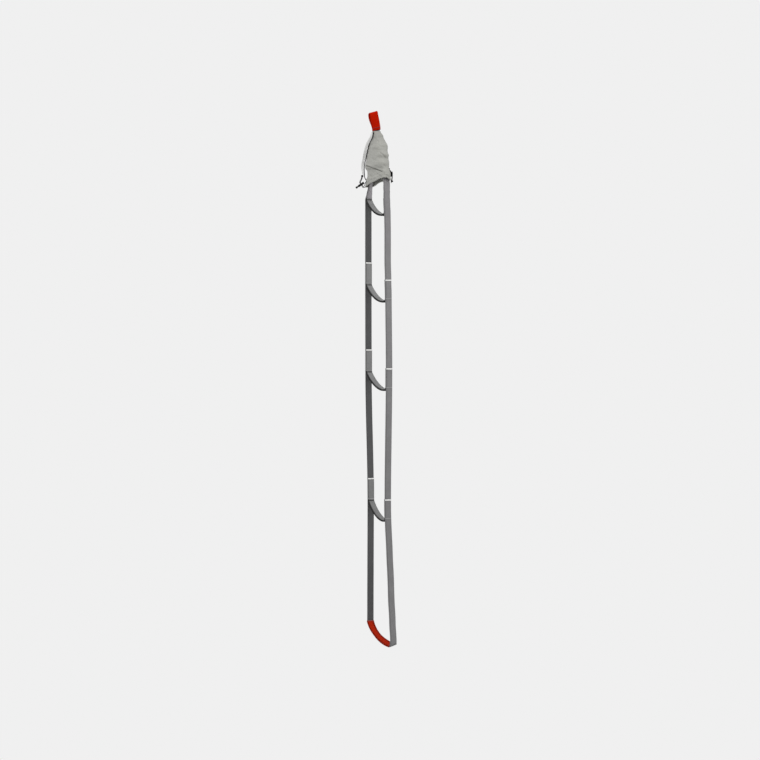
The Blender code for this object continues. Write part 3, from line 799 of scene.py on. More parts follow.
def bar_tacks(
        name, places, sides, material, width=18.4 * MM, height=3.6 * MM, passes=40,
        radius=0.34 * MM):
    """Bar tacks at single places, each across the webbing."""
    mesh = bpy.data.meshes.new(name + "_places")
    form = bmesh.new()
    layer = form.verts.layers.float_vector.new("side")
    for place, side in zip(places, sides):
        form.verts.new(place)[layer] = side
    form.to_mesh(mesh)
    form.free()
    return shapes["tacks"].make(
        name, mesh, material, Width=width, Height=height, Passes=passes, Thread_Radius=radius)


def woven(finish):
    """The raised pattern of woven webbing: ribs across it, broken by its lengthwise threads."""
    row = finish.attribute("along") / rib_pitch
    column = finish.attribute("across") / thread_pitch
    shifted = row + column.floor() * 0.5
    ribs = (shifted * math.pi).sine().size() ** 0.8
    return ribs * ((column * math.pi).sine().size() ** 0.5)


def webbing_finish(
        name, right_side, left_side, edges=plain_edges, sheen=0.06, tail=None, shade_levels=lower_shade_levels):
    """Woven webbing whose faces differ: darker selvages and painted edge shade, painted shade
    further down, and on a step a paler sewn end.
    """
    finish = Finish(
        name, Specular_IOR_Level=0.03 + 3 * sheen, Sheen_Weight=sheen, Sheen_Roughness=0.5)
    weave = woven(finish)
    side = finish.attribute("face").step(-0.6, 0.6)
    base = finish.mix(side, left_side, right_side)
    sling = 1.0
    if tail:
        sling = finish.attribute("along").step(left_tail - sling_bend, left_tail)
        base = finish.mix(sling, tail, base)
    cloud = finish.speckle(38.0, 3.0)
    grain = finish.speckle(900.0, 2.0)
    height = finish.add("ShaderNodeSeparateXYZ", None, {0: finish.place()}, output="Z")
    # Painted shade: the tone starts low by the shade depth and is raised back above the given
    # heights, so the webbing is darker further down
    tone = 0.96 - lower_shade_depth + weave * 0.2 + (cloud - 0.5) * 0.26 + (grain - 0.5) * 0.16
    tone = tone + height.step(shade_levels[0], shade_levels[1]) * lower_shade_depth
    # Darker edges: the selvage, with the painted edge shade given in edges everywhere but on a
    # step's tail, which keeps the plain selvage
    for sign, (share, shade) in zip((-1, 1), edges):
        place = finish.attribute("across") * sign
        edge_shade = place.step(share * webbing_width, (share + edge_shade_blend) * webbing_width)
        tone = tone * (1 - edge_shade * (sling * (plain_shade - shade) + (1 - plain_shade)))
    finish.set("Base Color", finish.shade(base, tone))
    finish.set("Roughness", 0.82 + (cloud - 0.5) * 0.12)
    finish.relief(weave + grain * 0.25, 0.35 * MM)
    return finish.material


def sheath_finish(name, tint, pitch=2.2 * MM, roughness=0.6):
    """Braided cord: two sets of strands that wind opposite ways."""
    finish = Finish(name, Specular_IOR_Level=0.1)
    around = finish.attribute("around_y")
    angle = around.maths("ARCTAN2", around, finish.attribute("around_x"))
    turn = angle * 3
    climb = finish.attribute("along") * (2 * math.pi / pitch)
    braid = (climb + turn).sine() * (climb - turn).sine()
    grain = finish.speckle(700.0, 2.0)
    finish.set("Base Color", finish.shade(tint, 1.0 + braid * 0.35 + (grain - 0.5) * 0.5))
    finish.set("Roughness", roughness + (grain - 0.5) * 0.2)
    finish.relief(braid + grain * 0.3, 0.12 * MM)
    return finish.material


def thread_finish(name, tint):
    """Sewing thread."""
    finish = Finish(name, Specular_IOR_Level=0.3, Sheen_Weight=0.2)
    grain = finish.speckle(1500.0, 2.0)
    finish.set("Base Color", finish.shade(tint, 0.85 + grain * 0.3))
    finish.set("Roughness", 0.6 + grain * 0.2)
    finish.relief(grain, 0.05 * MM)
    return finish.material


def cloth_finish(name, tint, shadow):
    """Thin nylon pouch cloth: a fine weave, soft blotches and painted shade in its creases."""
    finish = Finish(name, Specular_IOR_Level=0.3, Sheen_Weight=0.3, Sheen_Roughness=0.4)
    place = finish.place()
    axes = [finish.add("ShaderNodeSeparateXYZ", None, {0: place}, output=axis) for axis in "XYZ"]
    flat = (axes[0] * 0.9 + axes[1] * 0.44) * (math.pi / cloth_thread_pitch)
    high = axes[2] * (math.pi / cloth_thread_pitch)
    weave = flat.sine() * high.sine()
    cloud = finish.speckle(26.0, 4.0)
    rumple = finish.speckle(120.0, 3.0)
    grain = finish.speckle(1200.0, 2.0)
    fold = finish.attribute("fold")
    # Painted shade: the cloth turns to its shadow colour where its creases are
    base = finish.mix(fold.step(0.1, 1.0), tint, shadow)
    # The cloth is darker near the pouch's top
    darker_top = axes[2].step(-100 * MM, -60 * MM)
    tone = 0.86 + cloud * 0.2 + (grain - 0.5) * 0.1 + weave * 0.03 - darker_top * 0.1
    finish.set("Base Color", finish.shade(base, tone))
    finish.set("Roughness", 0.62 + (cloud - 0.5) * 0.2)
    finish.relief(weave * 0.12 + rumple * 1.6 + grain * 0.08, 0.5 * MM)
    return finish.material


def moulded_finish(name, tint, roughness=0.42):
    """Moulded plastic with a fine skin and lighter scuffs."""
    finish = Finish(name, Specular_IOR_Level=0.15)
    skin = finish.speckle(1400.0, 2.0)
    scuff = finish.speckle(160.0, 5.0).step(0.58, 0.75)
    finish.set("Base Color", finish.shade(tint, 0.9 + scuff * 0.9 + skin * 0.1))
    finish.set("Roughness", roughness + scuff * 0.2)
    finish.relief(skin * 0.5 + scuff * 0.3, 0.05 * MM)
    return finish.material


def steel_finish(name, tint):
    """Drawn steel wire."""
    finish = Finish(name, Metallic=1.0)
    draw = finish.speckle(500.0, 3.0)
    finish.set("Base Color", finish.shade(tint, 0.85 + draw * 0.3))
    finish.set("Roughness", 0.25 + draw * 0.25)
    return finish.material


shapes = {
    "webbing": webbing_tree(),
    "cord": cord_tree(),
    "stitches": stitch_tree(),
    "tacks": tack_tree(),
}

light_grey = colour(131, 131, 131)
tail_grey = colour(136, 136, 136)
# Painted light: the first step's tail is paler than the other tails, to make up for the shade that
# the pouch and its hem cast on it
first_tail_lit_grey = colour(166, 163, 166)
pale_grey = colour(165, 165, 165)
dark_grey = colour(84, 84, 85)
black_grey = colour(18, 18, 18)
rail_light = colour(134, 133, 134)
head_light = colour(134, 132, 134)
clip_red = colour(182, 24, 0)
sleeve_red = colour(178, 40, 14)
cord_black = colour(9, 9, 10)
thread_white = colour(248, 248, 246)
thread_dark = colour(30, 29, 29)
pouch_grey = colour(166, 166, 160)
pouch_shadow = colour(112, 112, 106)
strap_grey = colour(230, 230, 229)

finishes = {
    "left_rail": webbing_finish("left rail webbing", rail_light, dark_grey, shade_levels=left_lower_shade_levels),
    "right_rail": webbing_finish("right rail webbing", dark_grey, rail_light, rail_edge_shade),
    "left_head": webbing_finish("left head webbing", head_light, dark_grey),
    "right_head": webbing_finish("right head webbing", dark_grey, head_light, rail_edge_shade),
    # The first step differs from the others only by its tail's painted light
    "first_step": webbing_finish(
        "first step webbing", black_grey, light_grey, step_edge_shade, tail=first_tail_lit_grey),
    "step": webbing_finish("step webbing", black_grey, light_grey, step_edge_shade, tail=tail_grey),
    "red": webbing_finish("clip webbing", clip_red, clip_red, clip_edges, sheen=0.0),
    "sleeve": webbing_finish("step sleeve", sleeve_red, sleeve_red, sleeve_edge_shade, sheen=0.0),
    "stiffener": webbing_finish("stiffened webbing", black_grey, black_grey, sheen=0.0),
    "strap": webbing_finish("strap tape", strap_grey, pale_grey),
    "cord": sheath_finish("black braid", cord_black),
    "white_thread": thread_finish("white thread", thread_white),
    "dark_thread": thread_finish("dark thread", thread_dark),
    "grey_thread": thread_finish("grey thread", colour(112, 112, 112)),
    "pale_thread": thread_finish("pale thread", colour(160, 160, 160)),
    "red_thread": thread_finish("red thread", colour(140, 20, 2)),
    "rose_thread": thread_finish("rose thread", colour(150, 72, 66)),
    "cloth": cloth_finish("pouch cloth", pouch_grey, pouch_shadow),
    "lock": moulded_finish("moulded black", cord_black),
    "steel": steel_finish("spring wire", colour(190, 190, 192)),
}


def make_camera():
    """The photograph's viewing angle, looking level at the middle of the hanging ladder."""
    aim = Vector((0, ladder_drift, camera_height)) + camera_side * picture_side_shift
    data = bpy.data.cameras.new("camera")
    data.lens = camera_lens
    data.clip_end = 60
    camera = bpy.data.objects.new("camera", data)
    camera.location = aim + camera_towards * camera_distance
    camera.rotation_euler = (-camera_towards).to_track_quat("-Z", "Y").to_euler()
    bpy.context.scene.collection.objects.link(camera)
    bpy.context.scene.camera = camera


def make_light():
    """Flat studio light: a pale surround and two soft suns."""
    world = bpy.data.worlds.new("studio")
    bpy.context.scene.world = world
    world.use_nodes = True
    world.node_tree.nodes.clear()
    nodes = Nodes(world.node_tree)
    around = nodes.add(
        "ShaderNodeBackground", None, {"Color": surround_light, "Strength": surround_strength})
    seen = nodes.add("ShaderNodeBackground", None, {"Color": backdrop_grey, "Strength": 1.0})
    path = nodes.tree.nodes.new("ShaderNodeLightPath")
    straight = Value(nodes, path.outputs["Is Camera Ray"])
    mirrored = Value(nodes, path.outputs["Is Glossy Ray"])
    share = straight.maths("MAXIMUM", straight, mirrored)
    both = nodes.add("ShaderNodeMixShader", None, {0: share, 1: around, 2: seen})
    leave = nodes.tree.nodes.new("ShaderNodeOutputWorld")
    nodes.tree.links.new(both.socket, leave.inputs["Surface"])
    for name, azimuth, elevation, strength, spread in suns:
        data = bpy.data.lights.new(name, "SUN")
        data.energy = strength
        data.angle = math.radians(spread)
        lamp = bpy.data.objects.new(name, data)
        turn, rise = math.radians(azimuth), math.radians(elevation)
        source = Vector(
            (math.sin(turn) * math.cos(rise), -math.cos(turn) * math.cos(rise), math.sin(rise)))
        lamp.rotation_euler = (-source).to_track_quat("-Z", "Y").to_euler()
        bpy.context.scene.collection.objects.link(lamp)


def make_floor():
    """A plain pale floor well under the hanging foot."""
    form = bmesh.new()
    bmesh.ops.create_circle(form, cap_ends=True, segments=96, radius=floor_radius)
    bmesh.ops.translate(form, verts=form.verts, vec=(0, ladder_drift, floor_height))
    mesh = bpy.data.meshes.new("floor")
    form.to_mesh(mesh)
    form.free()
    finish = Finish("pale floor", Roughness=0.9, Specular_IOR_Level=0.1)
    finish.set("Base Color", finish.shade(backdrop_grey, floor_tone + finish.speckle(4.0) * 0.04))
    piece("floor", mesh, finish.material)


def loop_route():
    """The closed line of the clip loop's webbing."""
    arch_radius = (loop_inner_width + webbing_thickness) / 2
    arch_centre = Vector((0, 0, -loop_inner_width / 2))
    foot_level = -loop_hinge_depth + fold_clearance + loop_fold + webbing_thickness / 2
    foot_centre = Vector((0, 0, foot_level))
    foot = foot_centre + Vector((loop_fold, 0, 0))
    top = arch_centre + Vector((arch_radius, 0, 0))
    reach = Vector((0, 0, (arch_centre.z - foot_centre.z) / 2))
    right = interpolate_bezier(foot, foot + reach, top - reach, top, 24)
    left = [Vector((-point.x, 0, point.z)) for point in reversed(right)]
    route = right[:-1] + arc(arch_centre, arch_radius, 0, math.pi, 24) + left[1:]
    route += arc(foot_centre, loop_fold, math.pi, 2 * math.pi, 12)[1:]
    return route


def make_clip_loop():
    """The red loop and the sewing across it, red and then dark, near its foot."""
    route = drifted(loop_route())
    route[-1] = route[0]
    sides = sides_of(route)
    sides[0] = sides[-1] = Vector((1, 0, 0))
    mesh = line_mesh("clip_route", [route], [sides])
    loop = shapes["webbing"].make(
        "clip_loop_webbing", mesh, finishes["red"], Width=loop_width, Thickness=webbing_thickness,
        Edge_Round=webbing_thickness * edge_round_share, Ring_Spacing=loop_ring_spacing,
        Column_Spacing=column_spacing, Wave_Height=loop_wave, Wave_Length=loop_wave_length,
        Seed=4.0)
    settle(leaned(loop, head_tilts), "loop", "red_webbing", "clip_loop")
    for depth, thread in loop_tacks:
        places, facing = [], []
        for sign in (-1, 1):
            row = [index for index, point in enumerate(route) if point.x * sign > 0]
            index = min(row, key=lambda item: abs(route[item].z + depth))
            outward = sides[index] * (1 if sides[index].x * sign > 0 else -1)
            places.append(route[index] + outward * (webbing_thickness / 2 + loop_tack_lift))
            facing.append(outward)
        tacks = bar_tacks(
            "clip_loop_" + thread, places, facing, finishes[thread],
            width=loop_width - loop_tack_trim, height=low_tack_height, passes=52)
        settle(leaned(tacks, head_tilts), "loop", "red_webbing")


def fold_centre():
    """The middle of the head webbing's fold over the loop's foot."""
    return Vector((0, 0, -loop_hinge_depth - fold_clearance - loop_fold - webbing_thickness / 2))


def head_line(side):
    """Where the head webbing leaves its fold on one side, and its corner at the first step."""
    rise = right_corner_rise if side > 0 else 0
    corner = Vector((side * rail_spacing / 2, 0, rise - step_depths[0]))
    return tangent(fold_centre(), loop_fold, corner, -side), corner


def head_route(side):
    """The head webbing from the top of its fold down one side, to halfway down the next rail."""
    centre = fold_centre()
    touch, corner = head_line(side)
    angle = math.atan2(touch.z - centre.z, touch.x - centre.x) % (2 * math.pi)
    if side > 0 and angle > math.pi:
        angle -= 2 * math.pi
    top = arc(centre, loop_fold, math.pi / 2, angle, 8)
    foot = Vector((corner.x, 0, -half_way(side, 2)))
    route = [*top[:-1], *bend(touch, corner, foot, sling_bend * 2, 6), foot]
    return dense(route), (touch - corner).normalized()


def junction_depth(side, number):
    """The depth at which a step is sewn to a rail."""
    return step_depths[number - 1] + (junction_drop if side > 0 else 0)


def lap_depth(side, number):
    """The depth of the top of a lap, where the rail above it ends or bends."""
    return junction_depth(side, number) - (bottom_lap if number == len(step_depths) else lap_length)


def half_way(side, number):
    """The depth halfway down a stretch of rail."""
    return (junction_depth(side, number - 1) + flex_below_junction + lap_depth(side, number)) / 2


def bend_between(made, body, other, depth, *nodes):
    """Hide the nodes that a stretch of webbing stands for and bake its place into its mesh; the
    bodies and the depth are not used.
    """
    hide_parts(*nodes)
    above = Vector((0, ladder_drift, -depth + bend_reach))
    below = Vector((0, ladder_drift, -depth - bend_reach))
    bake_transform(made)


def step_name(number):
    """The body and node name of a step."""
    return "bottom_step" if number == len(step_depths) else f"step_{number}"


def make_head_webbing():
    """The webbing over the loop's fold and down inside the pouch, on both sides."""
    for label, side in rail_sides:
        route = head_route(side)[0]
        made = webbing(f"{label}_head_webbing", route, webbing_width, webbing_thickness,
                       finishes[f"{label}_head"], seed=3.0 + side, wave=head_wave)
        leaned(made, head_tilts)
        if side < 0:
            twisted(made)
        rail = f"{label}_rail_2"
        depth = junction_depth(side, 1) + flex_below_junction
        bend_between(made, "head", rail, depth, "head_webbing", rail)


def straight_webbing(name, side, top, foot, seed):
    """A vertical stretch of rail webbing between two depths."""
    x = side * rail_spacing / 2
    route = dense([Vector((x, 0, -top)), Vector((x, 0, -foot))])
    finish = finishes["right_rail" if side > 0 else "left_rail"]
    return webbing(name, route, webbing_width, webbing_thickness, finish, seed)


def make_rails():
    """Each rail in stretches that meet halfway along a rail or a lap.

    Even stages hang from the left rail and odd ones from the right. That rail runs on into its lap,
    and the other one only meets its lap, on rounded ends.
    """
    last = len(step_depths)
    for label, side in rail_sides:
        for number in range(2, last + 1):
            rail, lap = f"{label}_rail_{number}", f"{label}_lap_{number}"
            step = step_name(number)
            level = lap_depth(side, number)
            middle = half_way(side, number)
            end = junction_depth(side, number) - lap_length / 2
            if number == last:
                end = step_depths[-1] + bottom_drop + bottom_corner - foot_trim
            if (number % 2 == 0) == (side < 0):
                made = straight_webbing(f"{rail}_foot", side, middle, end, number + side * 0.3)
                if side > 0:
                    leaned(made, foot_tilts)
                bend_between(made, rail, step, level, rail, lap)
            else:
                made = straight_webbing(f"{rail}_foot", side, middle, level, number + side * 0.3)
                settle(rounded(made, level, -1), rail, "grey_webbing", rail)
                if number < last:
                    made = straight_webbing(f"{lap}_top", side, level, end, number + side * 0.4)
                    settle(rounded(made, level, 1), step, "grey_webbing", lap)
            if number < last:
                below = f"{label}_rail_{number + 1}"
                foot = half_way(side, number + 1)
                made = straight_webbing(f"{lap}_foot", side, end, foot, number + side * 0.6)
                joint = junction_depth(side, number) + flex_below_junction
                bend_between(made, step, below, joint, lap, below)


def beside(route, distance):
    """The route moved sideways, towards its right-hand side seen from -Y."""
    return [point + side * distance for point, side in zip(route, sides_of(route))]


def sling_route(ends, leaves, arrives, right_bend_radius):
    """A sling between two rails: its line with both tails, the sling alone, and its left bend.

    The ends are the left tail's top and corner, and the right tail's corner and top.
    """
    left_top, left, right, right_top = ends
    left_bend = bend(left_top, left, left + leaves, sling_bend)
    right_bend = bend(right - arrives, right, right_top, right_bend_radius)
    sling = interpolate_bezier(
        left_bend[-1], left + leaves, right - arrives, right_bend[0], sling_points)
    return [left_top, *left_bend[:-1], *sling, *right_bend[1:], right_top], sling, left_bend


def step_route(depth, lean):
    """A step's line: left tail, sling and right tail, and the sling alone."""
    left = Vector((-step_tail_x, 0, -depth))
    right = Vector((step_tail_x, 0, -depth - junction_drop))
    left_top = left + (lean or Vector((0, 0, 1))) * left_tail
    right_top = right + Vector((0, 0, head_tail if lean else right_tail))
    ends = (left_top, left, right, right_top)
    return sling_route(ends, sling_leaves, sling_arrives, sling_bend)[:2]


def make_steps():
    """The light steps, each with its black stiffener under the sling, and a dark bar tack as
    painted shade in the crease of its left bend.
    """
    lean = head_route(-1)[1]
    for number, depth in enumerate(step_depths[:-1], 1):
        body = "head" if number == 1 else f"step_{number}"
        route, sling = step_route(depth, lean if number == 1 else None)
        made = webbing(f"step_{number}_webbing", dense(route), webbing_width, webbing_thickness,
                       finishes["first_step" if number == 1 else "step"], seed=10.0 + number)
        if number == 1:
            twisted(made)
        settle(made, body, "light_webbing", f"step_{number}")
        under = beside(sling[stiffener_trim:-stiffener_trim],
                       (webbing_thickness + stiffener_thickness) / 2 + seat_gap)
        made = webbing(f"step_{number}_underlay", under, stiffener_width, stiffener_thickness,
                       finishes["stiffener"], seed=10.0 + number)
        settle(made, body, "black_webbing", f"step_{number}_stiffener")
        # Painted shade: a dark bar tack across the crease of the left bend, just below the junction
        line = drifted(route)
        sides = sides_of(route)
        middle = min(
            range(len(route) // 2), key=lambda index: abs(route[index].z + depth + bend_shade_drop))
        place = line[middle] - sides[middle] * (webbing_thickness / 2 + tack_lift / 2)
        crease = bar_tacks(
            f"step_{number}_crease", [place], [-sides[middle]], finishes["dark_thread"],
            width=webbing_width - bend_shade_trim, height=bend_shade_height)
        settle(crease, body, "light_webbing")


def make_bottom_step():
    """The last step, which carries on from the left rail, in its red sleeve."""
    left = Vector((-rail_spacing / 2, 0, -step_depths[-1]))
    right = Vector((step_tail_x, 0, -step_depths[-1] - bottom_drop))
    ends = (left + Vector((0, 0, bottom_lap)), left, right, right + Vector((0, 0, bottom_tail)))
    route, sling, left_bend = sling_route(ends, bottom_leaves, bottom_arrives, sling_bend / 2)
    made = webbing("bottom_step_webbing", dense(route), webbing_width, webbing_thickness,
                   finishes["left_rail"], seed=15.0)
    leaned(rounded(made, step_depths[-1] - bottom_lap, 1), foot_tilts)
    settle(made, "bottom_step", "light_webbing", "bottom_step")
    covered = [*left_bend[1:-1], *sling[:-1]]
    growth = 2 * (seat_gap + sleeve_wall)
    made = webbing("bottom_step_sleeve", covered, webbing_width + growth,
                   webbing_thickness + growth, finishes["sleeve"], seed=16.0)
    settle(leaned(made, foot_tilts), "bottom_step", "red_webbing", "bottom_sleeve")
    make_sleeve_sewing(drifted(covered), sides_of(covered))


def make_sleeve_sewing(line, sides):
    """Bar tacks across both ends of the red sleeve, and one at the foot of the right rail."""
    places, facing = [], []
    stand = webbing_thickness / 2 + sleeve_wall + tack_lift
    for index in (sleeve_tack_inset, len(line) - 1 - sleeve_tack_inset):
        for face in (-1, 1):
            places.append(line[index] + sides[index] * (face * stand))
            facing.append(sides[index] * face)
    ends = bar_tacks(
        "sleeve_tacks", places, facing, finishes["rose_thread"], height=sleeve_tack_height)
    settle(leaned(ends, foot_tilts), "bottom_step", "red_webbing")
    places = [on_rail(1, step_depths[-1] + bottom_drop - bottom_lap / 2, face) for face in (-1, 1)]
    foot = bar_tacks("foot_tack", places, [Vector((-1, 0, 0)), Vector((1, 0, 0))],
                     finishes["grey_thread"], height=sleeve_tack_height)
    settle(leaned(foot, foot_tilts), "bottom_step", "light_webbing")


def on_rail(side, depth, face, sunk=0.0):
    """A point on one face of the rail's sewn layers: face 1 looks out of the ladder, -1 into it."""
    reach = rail_spacing / 2 + webbing_thickness / 2
    if face < 0:
        reach = rail_spacing / 2 - 1.5 * webbing_thickness - seat_gap
    point = Vector((side * (reach + face * (tack_lift - sunk)), 0, -depth))
    return Vector((point.x, drift(point), point.z))


def make_sewing():
    """White bar tacks at the top of each lap, pale ones at its foot, and grey rows between."""
    for number in range(2, len(step_depths)):
        places, low_places, facing, rows, row_sides = [], [], [], [], []
        for side, tail in ((-1, left_tail), (1, right_tail)):
            depth = junction_depth(side, number)
            for face in (-1, 1):
                outward = Vector((side * face, 0, 0))
                facing.append(outward)
                places.append(on_rail(side, depth - tail + tack_inset, face))
                low_places.append(on_rail(side, depth - junction_tack_rise, face))
                for offset in (-row_offset, row_offset):
                    top = on_rail(side, depth - tail + 2 * tack_inset, face, row_sunk)
                    foot = on_rail(side, depth - junction_tack_rise - tack_inset, face, row_sunk)
                    rows.append([point + Vector((0, offset, 0)) for point in (top, foot)])
                    row_sides.append([outward, outward])
        for made in (
            bar_tacks(f"step_{number}_tacks", places, facing, finishes["white_thread"]),
            bar_tacks(f"step_{number}_foot_tacks", low_places, facing, finishes["pale_thread"],
                      height=low_tack_height),
            stitches(f"step_{number}_rows", rows, row_sides, finishes["grey_thread"]),
        ):
            settle(made, f"step_{number}", "light_webbing")


def aside(route, normal, distance):
    """The route moved sideways in the plane with this normal."""
    moved = []
    for index, point in enumerate(route):
        ahead = route[min(index + 1, len(route) - 1)] - route[max(index - 1, 0)]
        moved.append(point + ahead.cross(normal).normalized() * distance)
    return moved


def scaled(points):
    """Points given in millimetres."""
    return [Vector(point) * MM for point in points]


def make_drawcords():
    """Both drawcords: two strands out of the hem, through the lock and into a stopper knot."""
    for side, lock in locks.items():
        origin, along = lock["place"], lock["cord_axis"].normalized()
        normal = lock["axis"].cross(along).normalized()
        straight = [origin + along * (barrel_radius * share) for share in lock_run_shares]
        middle = smooth([*straight, *[origin + point for point in scaled(lock["tail"])]], 2)
        ending = (middle[-1] - middle[-2]).normalized()
        centre = middle[-1] + ending * (knot_length / 2 + seat_gap)
        knot = make_knot(f"{side}_stopper_knot", centre, ending)
        settle(knot, "head", "black_cord", f"{side}_cord_knot")
        for name, offset in (("front", -1), ("back", 1)):
            strand = aside(middle, normal, offset * strand_spacing / 2)
            route = [*smooth([*scaled(lock[name]), strand[0]], 2), *strand[1:], centre]
            fine = smooth(route, 3)
            made = round_cord(
                f"{side}_{name}_strand", fine, drawcord_radius, finishes["cord"], sides=14)
            settle(made, "head", "black_cord", f"{side}_drawcord_{name}")
            length_of(fine)


def make_knot(name, centre, ending):
    """A doubled stopper knot in both strands."""
    up = ending.normalized()
    across = up.orthogonal().normalized()
    third = up.cross(across)
    route = []
    for step in range(knot_points + 1):
        turn = 2 * math.pi * step / knot_points
        wide = math.sin(turn) + 2 * math.sin(2 * turn)
        deep = math.cos(turn) - 2 * math.cos(2 * turn)
        point = across * (wide / 3) + third * (deep / 3)
        rise = math.sin(3 * turn) * knot_length * knot_rise_share
        route.append(centre + point * (knot_radius * knot_reach_share) - up * rise)
    inside = centre + across * knot_radius * 0.3
    end = centre + up * (knot_length / 2) + across * knot_radius * 0.4
    free = end + (up + across * 0.3) * knot_end_length
    route[-1:] = smooth([route[-2], inside, end, free], 6)
    return round_cord(name, route, drawcord_radius, finishes["cord"])


def make_springs():
    """The coil spring in each lock, made at one length; in the real lock it shortens as the plunger
    is pressed in.
    """
    low, high = spring_levels
    for side, lock in locks.items():
        axis = lock["axis"].normalized()
        across = lock["cord_axis"].cross(axis).normalized()
        route = []
        for step in range(spring_turns * spring_steps + 1):
            turn = Matrix.Rotation(math.radians(360 * step / spring_steps), 3, axis)
            level = low + (high - low) * step / (spring_turns * spring_steps)
            route.append(lock["place"] + axis * level + turn @ (across * spring_radius))
        made = round_cord(f"{side}_spring_coil", route, spring_wire / 2, finishes["steel"],
                          sides=10, spacing=0.5 * MM)
        settle(made, f"{side}_lock", "spring_steel", f"{side}_lock_spring")
        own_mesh(made)


def make_edge_cord():
    """The black cord sewn down the pouch's left edge, free at its foot and back in at the mouth.

    Returns the line that the side strap follows.
    """
    proud = (edge_cord_diameter / 2 + pouch_wall / 2 + seat_gap) * edge_cord_stand_share
    places = [pouch_point(math.radians(angle), share, proud) for share, angle in edge_line]
    free = scaled(edge_cord_free)
    sewn = smooth([*places, free[0]], 2)[:-1]
    route = smooth([*sewn, *free], 4)
    made = round_cord("edge_braid", route, edge_cord_radius, finishes["cord"], sides=14)
    settle(made, "head", "black_cord", "edge_cord")
    length_of(route)
    return smooth([*sewn, *free[:2]], 4)


def shell_mesh(name, rows, thickness, closed, carried):
    """A thin closed skin from rows of points, with the numbers that each point carries."""
    mesh = bpy.data.meshes.new(name)
    form = bmesh.new()
    layers = {key: form.verts.layers.float.new(key) for key in carried}
    count, width = len(rows), len(rows[0])
    skins = []
    for skin in (0, 1):
        grid = []
        for row in range(count):
            line = []
            for column in range(width):
                before = rows[row][(column - 1) % width if closed else max(column - 1, 0)]
                after = rows[row][(column + 1) % width if closed else min(column + 1, width - 1)]
                upper, lower = rows[max(row - 1, 0)][column], rows[min(row + 1, count - 1)][column]
                normal = (after - before).cross(lower - upper).normalized()
                vert = form.verts.new(rows[row][column] - normal * (thickness * (skin - 0.5)))
                for key, values in carried.items():
                    vert[layers[key]] = values[row][column]
                line.append(vert)
            grid.append(line)
        skins.append(grid)
    columns = width if closed else width - 1
    for row in range(count - 1):
        for column in range(columns):
            beyond = (column + 1) % width
            for grid in skins:
                upper, lower = grid[row], grid[row + 1]
                form.faces.new((upper[column], upper[beyond], lower[beyond], lower[column]))
    for row in (0, count - 1):
        for column in range(columns):
            beyond = (column + 1) % width
            form.faces.new((skins[0][row][column], skins[0][row][beyond],
                            skins[1][row][beyond], skins[1][row][column]))
    if not closed:
        for column in (0, width - 1):
            for row in range(count - 1):
                form.faces.new((skins[0][row][column], skins[0][row + 1][column],
                                skins[1][row + 1][column], skins[1][row][column]))
    bmesh.ops.recalc_face_normals(form, faces=form.faces)
    for face in form.faces:
        face.smooth = True
    form.to_mesh(mesh)
    form.free()
    return mesh


def make_side_strap(line):
    """The pale tape that stands on edge outside the edge cord."""
    standing = strap_outward * (edge_cord_diameter / 2 + seat_gap + strap_thickness / 2)
    rows, along, across, face = [], [], [], []
    shares = [step / strap_columns for step in range(strap_columns + 1)]
    travelled = 0.0
    for index, point in enumerate(line):
        share = 1 - index / (len(line) - 1)
        if index:
            travelled += (point - line[index - 1]).length
        belly = math.sqrt(abs(math.sin(math.pi * share)))
        taper = strap_end_width_share + (1 - strap_end_width_share) * belly
        wave = noise.noise(point * 90) * strap_wave
        outward = strap_outward * (strap_width * taper)
        across_wave = Vector((-strap_outward.y, strap_outward.x, 0)) * wave
        rows.append([point + standing + outward * part + across_wave * part for part in shares])
        along.append([travelled] * len(shares))
        across.append([strap_width * taper * (part - 0.5) for part in shares])
        face.append([1.0] * len(shares))
    carried = {"along": along, "across": across, "face": face}
    mesh = shell_mesh("side_tape", rows, strap_thickness, False, carried)
    made = piece("side_tape", mesh, finishes["strap"])
    settle(made, "head", "strap_tape", "side_strap")


def pouch_size(depth):
    """The pouch's half width, half depth and drift at a depth."""
    return [between([(level[0], level[item]) for level in pouch_levels], depth)
            for item in (1, 2, 3)]


def hem_depth(x, angle):
    """The mouth's edge: lowest on the left, higher to the right, the front in a longer slope."""
    half = pouch_levels[-1][1]
    front, back = [
        pouch_levels[-1][0] - rise * eased(clamped((x + half) / (2 * half * slope_share)))
        for rise, slope_share in (
            (front_hem_rise, front_hem_slope_share), (back_hem_rise, back_hem_slope_share))]
    return front + (back - front) * eased(clamped(math.sin(angle) * 4 + 0.5))


def pouch_point(angle, share, proud=0.0):
    """A point on the pouch, by its angle from +X and its share of the way down to the hem."""
    flat = Vector((math.cos(angle), math.sin(angle)))
    top = pouch_levels[0][0]
    depth = top + (hem_depth(flat.x * pouch_levels[-1][1], angle) - top) * share
    half_width, half_depth, stand = pouch_size(depth)
    ripple = math.sin(2 * math.pi * depth / gather_spacing) * gather_height * max(flat.x, 0)
    reach = [abs(value) ** (2 / pouch_squareness) * math.copysign(1, value) for value in flat]
    x = reach[0] * (half_width + proud + ripple * math.sin(math.pi * share))
    y = reach[1] * (half_depth + proud + ripple * math.sin(math.pi * share))
    return Vector((x, stand + y, -depth))


